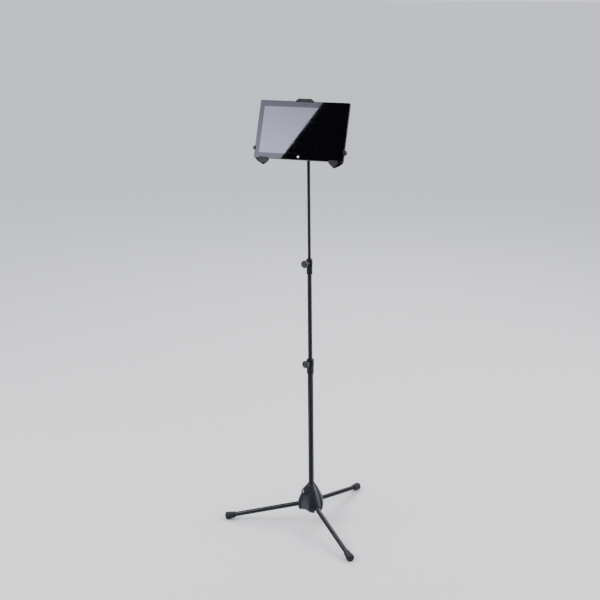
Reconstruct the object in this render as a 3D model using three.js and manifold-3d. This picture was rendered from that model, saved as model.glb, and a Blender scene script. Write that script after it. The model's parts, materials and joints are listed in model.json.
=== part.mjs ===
// A folding tripod stand with a telescopic pole and a spring-jawed holder that carries a tablet.
// Millimetres, +Z up. The tablet faces -Y. Azimuths are measured from -Y towards +X.
import * as THREE from "three";
import { mergeVertices } from "three/addons/utils/BufferGeometryUtils.js";
import Module from "manifold-3d";

const wasm = await Module();
wasm.setup();

// ---------------------------------------------------------------- driving dimensions
const GAP = 0.3; // clearance between neighbouring pieces
const ROUND = 24; // sides of a large round piece
const SMALL_ROUND = 12; // sides of a small round piece

// tripod
const FOOT_RADIUS = 274.5; // pole axis to the middle of a foot
const FOOT_AXIS_HEIGHT = 13.0;
const LEG_SLOPE = THREE.MathUtils.degToRad(12.9);
const LEG_TURN = 44.6; // azimuth of the first leg, degrees
const LEG_COUNT = 3;
const LEG_OD = 16.0;
const LEG_WALL = 1.2;
const PIVOT_RADIUS = 24.0; // pole axis to a leg's hinge pin
const PIN_DIAMETER = 5.0;
const FOOT_LENGTH = 34.0;
const FOOT_OD = 26.0;
const FOOT_NECK_OD = 21.0;
const HUB_BOTTOM = 52.0; // at the legs; the rim arches up between them
const HUB_TOP = 143.0;
const HUB_RIM_RADIUS = 45.0;
const HUB_TOP_RADIUS = 12.8;
const HUB_RIM_ARCH = 9.0; // rise of the rim between the legs
const HUB_GROOVE = 0.11; // depth of the valleys between the lobes, as a share of the radius
const HUB_SCREW_AZIMUTH = -30.5;
const HUB_SCREW_HEIGHT = 123.0;
const HUB_BOSS_REACH = 35.5;
const PLUG_DEPTH = 13.0; // how far the plug hangs below the hub

// pole
const LOWER_OD = 18.0;
const MIDDLE_OD = 14.0;
const UPPER_OD = 10.0;
const TUBE_WALL = 1.2;
const LOWER_TUBE_BOTTOM = 84.0;
const LOWER_CLAMP_BOTTOM = 532.0;
const UPPER_CLAMP_BOTTOM = 864.0;
const CLAMP_HEIGHT = 50.0;
const CLAMP_SOCKET = 26.0; // length of outer tube held in a clamp
const CLAMP_WALL = 2.2;
const CLAMP_AZIMUTH = -18.5; // where the clamp knobs point
const CLAMP_KNOB_HEIGHT = 37.5; // above the clamp's bottom
const CLAMP_KNOB_OD = 25.0;
const CLAMP_KNOB_LENGTH = 11.0;
const CLAMP_BOSS_REACH = 19.0;
const CLAMP_STUD_OD = 5.0;
const TUBE_OVERLAP = 102.0; // inner tube held inside its outer tube

// head
const TILT_AXIS_HEIGHT = 1297.3;
const RECLINE = THREE.MathUtils.degToRad(23.5);
const HEAD_SETBACK = 67.0; // tablet glass to the tilt axis
const CHEEK_THICKNESS = 5.0;
const TILT_BLOCK_WIDTH = 14.0;
const CHEEK_RADIUS = 10.0;
const FORK_SOCKET_OD = 18.0;
const FORK_SOCKET_LENGTH = 20.0;
const TILT_BOLT_OD = 6.0;
const TILT_KNOB_OD = 26.0;
const ROLL_FLANGE_OD = 34.0;
const ROLL_BOLT_OD = 8.0;

// tablet
const TABLET_WIDTH = 281.0;
const TABLET_HEIGHT = 177.0;
const TABLET_THICKNESS = 9.4;
const TABLET_CORNER = 4.0;
const GLASS_THICKNESS = 1.0;
const DISPLAY_SIDE_MARGIN = 15.5;
const DISPLAY_TOP_MARGIN = 19.0;
const DISPLAY_FOOT_MARGIN = 17.0;
const DISPLAY_THICKNESS = 1.0;
const HOME_BUTTON_OD = 7.0;
const CAMERA_OD = 4.0;

// holder
const ARM_THICKNESS = 5.0;
const ARM_WIDTH = 16.0;
const CLAW_THICKNESS = 4.5;
const HOLDER_FRONT_WALL = 3.2;
const HOLDER_COVER_THICKNESS = 3.0;
const TOP_ARM_WIDTH = 18.0;
const TOP_JAW_WIDTH = 56.0;
const TOP_JAW_RISE = 7.5;
const LIP_THICKNESS = 2.6; // how far the lips stand in front of the glass
const LIP_OVERLAP = 4.0; // how far the lower lips lap over the glass
const LIP_WIDTH = 27.0;
const LIP_INSET = 29.5; // from the side of the tablet to the middle of a lower lip
const LIP_DEPTH = 5.0; // thickness of a lip below the tablet's edge, at its ends
const FINGER_REACH = 4.6; // how far a claw's finger stands out from the tablet's side

const stand = new THREE.Group();

// ---------------------------------------------------------------- materials
const material = (color, roughness, metalness) =>
  new THREE.MeshStandardMaterial({ color, roughness, metalness });
const FINISH = {
  tube: () => material(0x1b1c20, 0.28, 0.6),
  cast: () => material(0x2b2d33, 0.55, 0.3),
  plastic: () => material(0x212328, 0.5, 0.0),
  rubber: () => material(0x222326, 0.85, 0.0),
  steel: () => material(0x9a9da3, 0.3, 1.0),
  glass: () => material(0x0b0c10, 0.06, 0.0),
  display: () => material(0x14161c, 0.1, 0.0),
  shell: () => material(0x17181b, 0.45, 0.2),
  light: () => material(0xd8dade, 0.4, 0.0),
};

// ---------------------------------------------------------------- solids
const vec = (x, y) => new THREE.Vector2(x, y);

/** Closed mesh geometry to manifold solid. */
function solid(geometry) {
  const bare = geometry.clone();
  bare.deleteAttribute("normal");
  bare.deleteAttribute("uv");
  const merged = mergeVertices(bare, 1e-4);
  return new wasm.Manifold(new wasm.Mesh({
    numProp: 3,
    vertProperties: new Float32Array(merged.attributes.position.array),
    triVerts: new Uint32Array(merged.index.array),
  }));
}

/** Manifold solid back to geometry. */
function geometryOf(body) {
  const { vertProperties, triVerts } = body.getMesh();
  const geometry = new THREE.BufferGeometry();
  geometry.setAttribute("position", new THREE.BufferAttribute(new Float32Array(vertProperties), 3));
  geometry.setIndex(new THREE.BufferAttribute(new Uint32Array(triVerts), 1));
  return geometry;
}

/** First solid with the others joined to it. */
const join = (first, ...others) => geometryOf(others.reduce((sum, g) => sum.add(solid(g)), solid(first)));

/** First solid with the others cut out of it. */
const cut = (first, ...others) => geometryOf(others.reduce((rest, g) => rest.subtract(solid(g)), solid(first)));

/** Smallest convex solid around two others. */
const hullOf = (a, b) => geometryOf(wasm.Manifold.hull([solid(a), solid(b)]));

/** Solid of revolution about Z from [radius, height] pairs; a ring profile closes on itself. */
function turned(pairs, segments = ROUND) {
  const points = pairs.map(([r, z]) => vec(r, z));
  if (pairs[0][0] > 0) points.push(points[0].clone());
  return new THREE.LatheGeometry(points, segments).rotateX(Math.PI / 2);
}

const rod = (diameter, bottom, top, segments = ROUND) =>
  turned([[0, bottom], [diameter / 2, bottom], [diameter / 2, top], [0, top]], segments);

const pipe = (outer, inner, bottom, top, segments = ROUND) =>
  turned([[inner / 2, bottom], [outer / 2, bottom], [outer / 2, top], [inner / 2, top]], segments);

/** Box from its two corners. */
function block(x0, x1, y0, y1, z0, z1) {
  const box = new THREE.BoxGeometry(x1 - x0, y1 - y0, z1 - z0);
  return box.translate((x0 + x1) / 2, (y0 + y1) / 2, (z0 + z1) / 2);
}

/** Outline extruded along Z from z0 to z1, its edges eased by a small bevel where one is asked for. */
function plate(shape, z0, z1, ease = 0, curveSegments = 4) {
  const geometry = new THREE.ExtrudeGeometry(shape, {
    depth: z1 - z0 - 2 * ease,
    bevelEnabled: ease > 0,
    bevelThickness: ease,
    bevelSize: ease,
    bevelOffset: -ease,
    bevelSegments: 1,
    curveSegments,
  });
  return geometry.translate(0, 0, z0 + ease);
}

const outline = (pairs) => new THREE.Shape(pairs.map(([x, y]) => vec(x, y)));

/** Rectangle with round corners, centred on the origin. */
function roundedRectangle(width, height, radius) {
  const [x, y] = [width / 2, height / 2];
  const shape = new THREE.Shape();
  shape.moveTo(x - radius, -y);
  shape.absarc(x - radius, -y + radius, radius, -Math.PI / 2, 0, false);
  shape.absarc(x - radius, y - radius, radius, 0, Math.PI / 2, false);
  shape.absarc(-x + radius, y - radius, radius, Math.PI / 2, Math.PI, false);
  shape.absarc(-x + radius, -y + radius, radius, Math.PI, 1.5 * Math.PI, false);
  return shape;
}

/** Lobed hand knob about Z with shallow scallops round its rim and a raised cap. */
function handKnob(diameter, bottom, length, bore, scallops) {
  const radius = diameter / 2;
  const rim = [];
  for (let i = 0; i < scallops * 2; i += 1) {
    const angle = (i / (scallops * 2)) * 2 * Math.PI;
    const r = radius * (0.965 + 0.035 * Math.cos(scallops * angle));
    rim.push([r * Math.cos(angle), r * Math.sin(angle)]);
  }
  const body = plate(outline(rim), bottom, bottom + length - 1.5, 1);
  const cap = rod(diameter * 0.62, bottom + length - 3, bottom + length, SMALL_ROUND);
  const hole = rod(bore, bottom - 1, bottom + length - 4, SMALL_ROUND);
  return cut(join(body, cap), hole);
}

/** Group whose +Z points outwards at an azimuth and whose origin is on the pole axis at a height. */
function radialGroup(azimuth, height) {
  const group = new THREE.Group();
  group.rotation.set(Math.PI / 2, THREE.MathUtils.degToRad(azimuth), 0, "ZXY");
  group.position.z = height;
  return group;
}

function add(parent, name, geometry, finish) {
  const mesh = new THREE.Mesh(geometry, finish());
  mesh.name = name;
  parent.add(mesh);
  return mesh;
}

// ---------------------------------------------------------------- tripod
const pivotHeight = FOOT_AXIS_HEIGHT + (FOOT_RADIUS - PIVOT_RADIUS) * Math.tan(LEG_SLOPE);
const legReach = (FOOT_RADIUS - PIVOT_RADIUS) / Math.cos(LEG_SLOPE); // hinge pin to the middle of the foot
const legId = LEG_OD - 2 * LEG_WALL;
const legAzimuth = (i) => LEG_TURN + (360 / LEG_COUNT) * i;
const slotWidth = LEG_OD + 2 * GAP + 0.4;
const slotBack = PIVOT_RADIUS - LEG_OD / 2 - 2 * GAP;
const kneeLength = 14.0; // hinge pin to the tube's inner end
const spigotLength = 22.0;

/** Group at a leg's azimuth: +X runs outwards over the floor, +Z is up. */
function legGroup(i) {
  const group = new THREE.Group();
  group.rotation.z = THREE.MathUtils.degToRad(legAzimuth(i) - 90);
  return group;
}

/** Group with its origin on a leg's hinge pin and +X down along the leg. */
function slopeGroup(i) {
  const group = new THREE.Group();
  group.position.set(PIVOT_RADIUS, 0, pivotHeight);
  group.rotation.y = LEG_SLOPE;
  const turn = legGroup(i);
  turn.add(group);
  stand.add(turn);
  return group;
}

/** Bell of the hub: a turned shape whose radius is drawn in between the legs, so a lobe covers each leg. */
function hubBell() {
  const rim = HUB_RIM_RADIUS;
  const profile = [
    [0, HUB_BOTTOM], [rim - 2, HUB_BOTTOM], [rim - 0.6, HUB_BOTTOM + 5], [rim, HUB_BOTTOM + 14],
    [rim - 0.4, HUB_BOTTOM + 25], [rim * 0.93, HUB_BOTTOM + 37], [rim * 0.8, HUB_BOTTOM + 50],
    [rim * 0.62, HUB_BOTTOM + 65], [rim * 0.45, HUB_BOTTOM + 78], [HUB_TOP_RADIUS + 1.2, HUB_TOP - 4],
    [HUB_TOP_RADIUS, HUB_TOP], [0, HUB_TOP],
  ];
  const bell = turned(profile, 36);
  const position = bell.attributes.position;
  const height = HUB_TOP - HUB_BOTTOM;
  for (let i = 0; i < position.count; i += 1) {
    const [x, y, z] = [position.getX(i), position.getY(i), position.getZ(i)];
    const fromLeg = Math.atan2(x, -y) - THREE.MathUtils.degToRad(LEG_TURN);
    const valley = ((1 - Math.cos(LEG_COUNT * fromLeg)) / 2) ** 2;
    const level = (z - HUB_BOTTOM) / height;
    const depth = HUB_GROOVE * (1 - level ** 4) * valley;
    const onRim = Math.hypot(x, y) > rim / 2 && z < HUB_BOTTOM + 6;
    position.setXYZ(i, x * (1 - depth), y * (1 - depth), z + (onRim ? HUB_RIM_ARCH * valley : 0));
  }
  return bell;
}

/** Slot under one lobe, in which the leg swings down; its roof is the leg's stop. */
function legSlot(i) {
  const roof = (r) => pivotHeight - (r - PIVOT_RADIUS) * Math.tan(LEG_SLOPE) + slotWidth / 2;
  const reach = HUB_RIM_RADIUS + 10;
  const profile = outline([
    [slotBack, HUB_BOTTOM - 20], [reach, HUB_BOTTOM - 20], [reach, roof(reach)],
    [PIVOT_RADIUS, roof(PIVOT_RADIUS)], [slotBack, roof(PIVOT_RADIUS)],
  ]);
  const slot = plate(profile, -slotWidth / 2, slotWidth / 2).rotateX(Math.PI / 2);
  return slot.rotateZ(THREE.MathUtils.degToRad(legAzimuth(i) - 90));
}

/** Bore for a leg's hinge pin, across its slot. */
function pinBore(i, diameter, half) {
  const bore = rod(diameter, -half, half, SMALL_ROUND).rotateX(Math.PI / 2);
  bore.translate(PIVOT_RADIUS, 0, pivotHeight);
  return bore.rotateZ(THREE.MathUtils.degToRad(legAzimuth(i) - 90));
}

const pinHalf = 14.0; // half the length of a hinge pin
const hubScrewOd = 5.0;
const hubScrewHeadOd = 12.0;
const hubBossOd = 18.0;
const hubScrewHeadLength = 3.0;

/** Geometry made along +Z, turned to point outwards at the hub screw. */
function atHubScrew(geometry) {
  geometry.rotateX(Math.PI / 2).rotateZ(THREE.MathUtils.degToRad(HUB_SCREW_AZIMUTH));
  return geometry.translate(0, 0, HUB_SCREW_HEIGHT);
}

function addHub() {
  const boss = atHubScrew(turned([
    [0, LOWER_OD / 2 + 2], [hubBossOd / 2, LOWER_OD / 2 + 2], [hubBossOd / 2, HUB_BOSS_REACH - 2],
    [hubBossOd / 2 - 1.3, HUB_BOSS_REACH], [0, HUB_BOSS_REACH],
  ], 16));
  const neck = rod(2 * HUB_TOP_RADIUS, HUB_SCREW_HEIGHT, HUB_TOP - 2);
  const fairing = hullOf(boss, neck);
  const cuts = [
    rod(LOWER_OD + 2 * GAP, LOWER_TUBE_BOTTOM - GAP, HUB_TOP + 1),
    atHubScrew(rod(hubScrewOd + 2 * GAP, 0, HUB_BOSS_REACH + 1, SMALL_ROUND)),
    rod(hubPlugStem + 2 * GAP, HUB_BOTTOM - 1, HUB_BOTTOM + hubPlugStemLength + GAP, SMALL_ROUND),
  ];
  for (let i = 0; i < LEG_COUNT; i += 1) {
    cuts.push(legSlot(i), pinBore(i, PIN_DIAMETER + 2 * GAP, pinHalf + GAP));
  }
  add(stand, "base_hub", cut(join(hubBell(), fairing), ...cuts), FINISH.cast);

  const tip = LOWER_OD / 2 + GAP;
  const slot = block(-1, 1, -8, 8, HUB_BOSS_REACH + GAP + hubScrewHeadLength - 1.2, HUB_BOSS_REACH + 9);
  const headStart = HUB_BOSS_REACH + GAP;
  const head = rod(hubScrewHeadOd, headStart, headStart + hubScrewHeadLength, SMALL_ROUND);
  const screw = cut(join(head, rod(hubScrewOd, tip, HUB_BOSS_REACH + 1, SMALL_ROUND)), slot);
  add(stand, "hub_tube_screw", atHubScrew(screw), FINISH.steel);
}

const hubPlugStem = 8.0;
const hubPlugStemLength = 12.0;

/** Domed plug under the hub, between the folded legs, with the flat face that the folded stand rests on. */
function addHubPlug() {
  const radius = slotBack - 2.0;
  const top = HUB_BOTTOM - GAP;
  const bottom = HUB_BOTTOM - PLUG_DEPTH;
  add(stand, "hub_plug", turned([
    [0, bottom], [radius - 4, bottom], [radius - 1, bottom + 3], [radius, top], [hubPlugStem / 2, top],
    [hubPlugStem / 2, HUB_BOTTOM + hubPlugStemLength], [0, HUB_BOTTOM + hubPlugStemLength],
  ], 16), FINISH.plastic);
}

/** One leg: knee, hinge pin, tube and rubber foot, all drawn along the leg from the pin. */
function addLeg(i) {
  const leg = slopeGroup(i);
  const label = i + 1;
  const kneeHeight = LEG_OD - 1.0;
  const cheek = new THREE.Shape();
  cheek.moveTo(kneeLength - GAP, -kneeHeight / 2);
  cheek.lineTo(kneeLength - GAP, kneeHeight / 2);
  cheek.lineTo(0, kneeHeight / 2);
  cheek.absarc(0, 0, kneeHeight / 2, Math.PI / 2, 1.5 * Math.PI, false);
  const tongue = plate(cheek, -LEG_OD / 2 + 1, LEG_OD / 2 - 1, 0.8, 5).rotateX(Math.PI / 2);
  const spigotEnd = kneeLength + spigotLength;
  const spigot = rod(legId - 2 * GAP, kneeLength - 2, spigotEnd, SMALL_ROUND).rotateY(Math.PI / 2);
  const bore = rod(PIN_DIAMETER + 2 * GAP, -LEG_OD, LEG_OD, SMALL_ROUND).rotateX(Math.PI / 2);
  add(leg, `leg_knee_${label}`, cut(join(tongue, spigot), bore), FINISH.cast);

  const pin = rod(PIN_DIAMETER, -pinHalf, pinHalf, SMALL_ROUND).rotateX(Math.PI / 2);
  add(leg, `leg_pin_${label}`, pin, FINISH.steel);

  const tubeEnd = legReach + FOOT_LENGTH / 2 - 6;
  const tube = pipe(LEG_OD, legId, kneeLength, tubeEnd, 16).rotateY(Math.PI / 2);
  add(leg, `leg_tube_${label}`, tube, FINISH.tube);

  const inner = LEG_OD / 2 + GAP;
  const [near, far] = [legReach - FOOT_LENGTH / 2, legReach + FOOT_LENGTH / 2];
  const foot = join(
    turned([
      [inner, near], [FOOT_NECK_OD / 2 - 0.5, near], [FOOT_NECK_OD / 2 + 0.6, near + 12],
      [FOOT_OD / 2, near + 22], [FOOT_OD / 2, far - 5], [FOOT_OD / 2 - 2, far - 1.5], [inner, far - 1.5],
    ], ROUND),
    turned([
      [0, tubeEnd + GAP], [inner + 0.5, tubeEnd + GAP], [inner + 0.5, far - 1.5], [inner - 1, far], [0, far],
    ], ROUND),
  ).rotateY(Math.PI / 2);
  const floor = block(FOOT_RADIUS - 40, FOOT_RADIUS + 40, -30, 30, -30, 0)
    .translate(-PIVOT_RADIUS, 0, -pivotHeight).rotateY(-LEG_SLOPE);
  add(leg, `leg_foot_${label}`, cut(foot, floor), FINISH.rubber);
}

// ---------------------------------------------------------------- telescopic pole
const lowerTop = LOWER_CLAMP_BOTTOM + CLAMP_SOCKET;
const middleTop = UPPER_CLAMP_BOTTOM + CLAMP_SOCKET;
const middleBottom = lowerTop - TUBE_OVERLAP;
const upperBottom = middleTop - TUBE_OVERLAP;
const upperTop = TILT_AXIS_HEIGHT - CHEEK_RADIUS - 4;
const bushLip = 6.0;
const bushSpigot = 14.0;

/** Plastic bush that plugs the foot of an inner tube and guides it inside the outer one. */
function guideBush(outerId, innerId, bottom) {
  const bore = innerId - 5.0;
  return turned([
    [bore / 2, bottom - bushLip - GAP], [outerId / 2 - GAP, bottom - bushLip - GAP],
    [outerId / 2 - GAP, bottom - GAP], [innerId / 2 - GAP, bottom - GAP],
    [innerId / 2 - GAP, bottom + bushSpigot], [bore / 2, bottom + bushSpigot],
  ], 16);
}

function addTubes() {
  const id = (od) => od - 2 * TUBE_WALL;
  add(stand, "lower_tube", pipe(LOWER_OD, id(LOWER_OD), LOWER_TUBE_BOTTOM, lowerTop), FINISH.tube);
  add(stand, "middle_tube", pipe(MIDDLE_OD, id(MIDDLE_OD), middleBottom, middleTop), FINISH.tube);
  add(stand, "upper_tube", pipe(UPPER_OD, id(UPPER_OD), upperBottom, upperTop, 24), FINISH.tube);
  add(stand, "middle_tube_bush", guideBush(id(LOWER_OD), id(MIDDLE_OD), middleBottom), FINISH.plastic);
  add(stand, "upper_tube_bush", guideBush(id(MIDDLE_OD), id(UPPER_OD), upperBottom), FINISH.plastic);
}

const cheekTurn = 0.75; // from the clamp's knob round to its flat cheek, radians

/** Clamp on the end of an outer tube: collar, hand knob on a stud, and the pad pressed on the inner tube. */
function addClamp(name, bottom, outerOd, innerOd) {
  const radius = outerOd / 2 + CLAMP_WALL + GAP;
  const top = bottom + CLAMP_HEIGHT;
  const shoulder = bottom + CLAMP_SOCKET + 2;
  const knobHeight = bottom + CLAMP_KNOB_HEIGHT;
  const turn = THREE.MathUtils.degToRad(CLAMP_AZIMUTH);
  const outwards = (geometry) => geometry.rotateX(Math.PI / 2).rotateZ(turn).translate(0, 0, knobHeight);

  const collar = turned([
    [0, bottom], [radius - 0.7, bottom], [radius - 0.2, bottom + 1.2], [radius - 0.2, shoulder - 3],
    [radius + 0.5, shoulder], [radius + 0.5, top - 2], [radius - 1.2, top], [0, top],
  ]);
  const boss = outwards(turned([
    [0, 0], [radius * 0.8, 0], [radius * 0.8, radius * 0.6], [6, CLAMP_BOSS_REACH - 3], [5.4, CLAMP_BOSS_REACH],
    [0, CLAMP_BOSS_REACH],
  ], 24));
  const face = block(-5.2, 5.2, -radius - 1.1, 0, shoulder - 1, top - 3).rotateZ(turn + cheekTurn);
  const body = cut(
    join(collar, boss, face),
    rod(outerOd + 2 * GAP, bottom - 1, bottom + CLAMP_SOCKET + GAP),
    rod(innerOd + 2 * GAP, bottom, top + 1),
    outwards(rod(CLAMP_STUD_OD + 2 * GAP, 0, CLAMP_BOSS_REACH + 1, SMALL_ROUND)),
  );
  add(stand, `${name}_clamp_body`, body, FINISH.plastic);

  const group = radialGroup(CLAMP_AZIMUTH, knobHeight);
  stand.add(group);
  const padStart = innerOd / 2 + GAP;
  const padEnd = padStart + 2.2;
  const studEnd = CLAMP_BOSS_REACH + CLAMP_KNOB_LENGTH - 4.6;
  add(group, `${name}_clamp_pad`, rod(CLAMP_STUD_OD, padStart + 0.1, padEnd, SMALL_ROUND), FINISH.steel);
  add(group, `${name}_clamp_stud`, rod(CLAMP_STUD_OD, padEnd + GAP, studEnd, SMALL_ROUND), FINISH.steel);
  const knob = handKnob(CLAMP_KNOB_OD, CLAMP_BOSS_REACH + GAP, CLAMP_KNOB_LENGTH, CLAMP_STUD_OD + 2 * GAP, 8);
  add(group, `${name}_clamp_knob`, knob, FINISH.plastic);
}

// ---------------------------------------------------------------- tilting head
const cheekInner = TILT_BLOCK_WIDTH / 2 + GAP;
const cheekOuter = cheekInner + CHEEK_THICKNESS;
const tiltKnobLength = 14.0;
const boltHeadLength = 4.0;

/** Geometry made along +Z, turned to run along +X. */
const alongX = (geometry) => geometry.rotateY(Math.PI / 2);

function addFork() {
  const floor = upperTop + GAP + 1.4; // bottom of the slot between the cheeks
  const cheek = new THREE.Shape();
  cheek.moveTo(-CHEEK_RADIUS, floor - 7 - TILT_AXIS_HEIGHT);
  cheek.lineTo(CHEEK_RADIUS, floor - 7 - TILT_AXIS_HEIGHT);
  cheek.lineTo(CHEEK_RADIUS, 0);
  cheek.absarc(0, 0, CHEEK_RADIUS, 0, Math.PI, false);
  const side = (x) => plate(cheek, x, x + CHEEK_THICKNESS, 0.6, 5)
    .rotateX(Math.PI / 2).rotateZ(Math.PI / 2).translate(0, 0, TILT_AXIS_HEIGHT);
  const [bx, by] = [cheekOuter - 0.5, CHEEK_RADIUS - 1];
  const base = block(-bx, bx, -by, by, floor - 7, floor);
  const socket = rod(FORK_SOCKET_OD, upperTop - FORK_SOCKET_LENGTH, floor - 1, 24);
  const bolt = alongX(rod(TILT_BOLT_OD + 2 * GAP, -20, 20, SMALL_ROUND)).translate(0, 0, TILT_AXIS_HEIGHT);
  const bore = rod(UPPER_OD + 2 * GAP, upperTop - FORK_SOCKET_LENGTH - 1, upperTop + GAP, 24);
  const fork = cut(join(socket, base, side(cheekInner), side(-cheekOuter)), bore, bolt);
  add(stand, "tilt_fork", fork, FINISH.cast);
}

function addTiltBolt() {
  const knobStart = cheekOuter + GAP;
  const head = rod(12, knobStart, knobStart + boltHeadLength, 6);
  const shank = rod(TILT_BOLT_OD, -knobStart - tiltKnobLength + 4.6, knobStart + 1, SMALL_ROUND);
  const bolt = alongX(join(head, shank)).translate(0, 0, TILT_AXIS_HEIGHT);
  add(stand, "tilt_bolt", bolt, FINISH.steel);
  const knob = handKnob(TILT_KNOB_OD, knobStart, tiltKnobLength, TILT_BOLT_OD + 2 * GAP, 6);
  add(stand, "tilt_knob", knob.rotateY(-Math.PI / 2).translate(0, 0, TILT_AXIS_HEIGHT), FINISH.plastic);
}

// Levels of the holder's layers, measured forwards from the face of the tablet's glass.
const tabletBack = -TABLET_THICKNESS;
const clawFront = tabletBack - GAP;
const clawBack = clawFront - CLAW_THICKNESS;
const armFront = clawBack - GAP;
const armBack = armFront - ARM_THICKNESS;
const bodyFront = armFront + GAP + HOLDER_FRONT_WALL;
const bodyBack = armBack - GAP;
const coverFront = bodyBack - GAP;
const coverBack = coverFront - HOLDER_COVER_THICKNESS;
const bossBack = coverBack - 4.5;
const washerFront = bossBack - GAP;
const washerBack = washerFront - 1.0;
const flangeFront = washerBack - GAP;
const flangeBack = flangeFront - 6.0;
const rollHeadOd = 16.0;
const rollHeadLength = 2.7;
const rollBoltEnd = flangeBack - 6.0;

/** Group in the tablet's own frame: X to the right, Y up the tablet, Z out of its glass. */
const holder = new THREE.Group();
holder.rotation.x = Math.PI / 2 - RECLINE;
holder.position.set(0, -HEAD_SETBACK * Math.cos(RECLINE), TILT_AXIS_HEIGHT + HEAD_SETBACK * Math.sin(RECLINE));
stand.add(holder);

function addRollJoint() {
  const flange = rod(ROLL_FLANGE_OD, flangeBack, flangeFront);
  const half = TILT_BLOCK_WIDTH / 2;
  const neck = block(-half, half, -8, 8, -HEAD_SETBACK, flangeBack + 1);
  const barrel = alongX(rod(19, -half, half, 24)).translate(0, 0, -HEAD_SETBACK);
  const tiltBore = alongX(rod(TILT_BOLT_OD + 2 * GAP, -20, 20, SMALL_ROUND)).translate(0, 0, -HEAD_SETBACK);
  const rollBore = rod(ROLL_BOLT_OD + 2 * GAP, rollBoltEnd - GAP, 0, SMALL_ROUND);
  add(holder, "tilt_block", cut(join(flange, neck, barrel), tiltBore, rollBore), FINISH.cast);

  const headFront = coverFront - GAP;
  const head = rod(rollHeadOd, headFront - rollHeadLength, headFront, 24);
  const shank = rod(ROLL_BOLT_OD, rollBoltEnd, headFront - 1, SMALL_ROUND);
  add(holder, "roll_bolt", join(head, shank), FINISH.steel);
  const washer = pipe(ROLL_FLANGE_OD - 4, ROLL_BOLT_OD + 2 * GAP, washerBack, washerFront);
  add(holder, "roll_friction_washer", washer, FINISH.plastic);
}

// ---------------------------------------------------------------- spring-jawed holder
// The right lower arm runs from its root in the housing to its end behind the lip.
const lipCentre = TABLET_WIDTH / 2 - LIP_INSET;
const armRoot = vec(29.6, 10.4);
const armEnd = vec(lipCentre + 4.4, -(TABLET_HEIGHT / 2 - 10.1));
const armLength = armEnd.distanceTo(armRoot);
const armAngle = Math.atan2(armEnd.y - armRoot.y, armEnd.x - armRoot.x);
const channelWidth = ARM_WIDTH + 2 * GAP;
const topChannelWidth = TOP_ARM_WIDTH + 2 * GAP;
const topArmBottom = -10.0;
const jawInner = TABLET_HEIGHT / 2 + GAP; // where a jaw pad meets the tablet's edge
const padThickness = 1.5;
const coverScrewPlaces = [[24, -30], [-24, -30], [20, 37], [-20, 37]];
const coverScrewOd = 3.0;
const clawScrewAlong = armLength - 14;

/** Point so far along and across the right lower arm, in the tablet's plane. */
function alongArm(along, across) {
  const [c, s] = [Math.cos(armAngle), Math.sin(armAngle)];
  return [armRoot.x + along * c - across * s, armRoot.y + along * s + across * c];
}

/** Corners of a strip down the right lower arm, from a place along it to its end. */
const armCorners = (from, half) => [
  alongArm(from, -half), alongArm(armLength, -half), alongArm(armLength, half), alongArm(from, half),
];

/** Mirror a right-hand outline to the side asked for. */
const sided = (pairs, side) => outline(pairs.map(([x, y]) => [side * x, y]));

/** Outline of the holder's housing, from which the three arms slide. */
const housing = () => outline([
  [-27, 48], [-64, 4], [-64, -14], [-42, -40], [-36, -43], [36, -43], [42, -40], [64, -14], [64, 4], [27, 48],
]);

/** Straight channel of a lower arm, in the plane of the housing. */
function armChannel(side) {
  const half = channelWidth / 2;
  return plate(sided(armCorners(-1, half), side), bodyBack - 1, armFront + GAP);
}

function addHolderHousing() {
  const spring = block(-5, 5, -37, topArmBottom + 1, bodyBack - 1, armFront + GAP);
  const topChannel = block(
    -topChannelWidth / 2, topChannelWidth / 2, topArmBottom - 1, 60, bodyBack - 1, armFront + GAP,
  );
  const pilots = coverScrewPlaces.map(([x, y]) =>
    rod(coverScrewOd + 2 * GAP, bodyBack - 1, bodyBack + 5, 12).translate(x, y, 0));
  const body = cut(
    plate(housing(), bodyBack, bodyFront, 1), armChannel(1), armChannel(-1), topChannel, spring, ...pilots,
  );
  add(holder, "holder_body", body, FINISH.plastic);

  const boss = rod(ROLL_FLANGE_OD, bossBack, coverBack + 1);
  const holes = coverScrewPlaces.map(([x, y]) =>
    rod(coverScrewOd + 2 * GAP, coverBack - 1, coverFront + 1, 12).translate(x, y, 0));
  const cover = cut(
    join(plate(housing(), coverBack, coverFront, 0.8), boss),
    rod(rollHeadOd + 2 * GAP, coverFront - rollHeadLength - 2 * GAP, coverFront + 1, 24),
    rod(ROLL_BOLT_OD + 2 * GAP, bossBack - 1, coverFront, SMALL_ROUND),
    ...holes,
  );
  add(holder, "holder_cover", cover, FINISH.plastic);
  coverScrewPlaces.forEach(([x, y], i) => {
    const head = rod(6, coverBack - GAP - 1.6, coverBack - GAP, 12);
    const screw = join(head, rod(coverScrewOd, coverBack - 1, bodyBack + 4.5, 12)).translate(x, y, 0);
    add(holder, `cover_screw_${i + 1}`, screw, FINISH.steel);
  });
}

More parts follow.
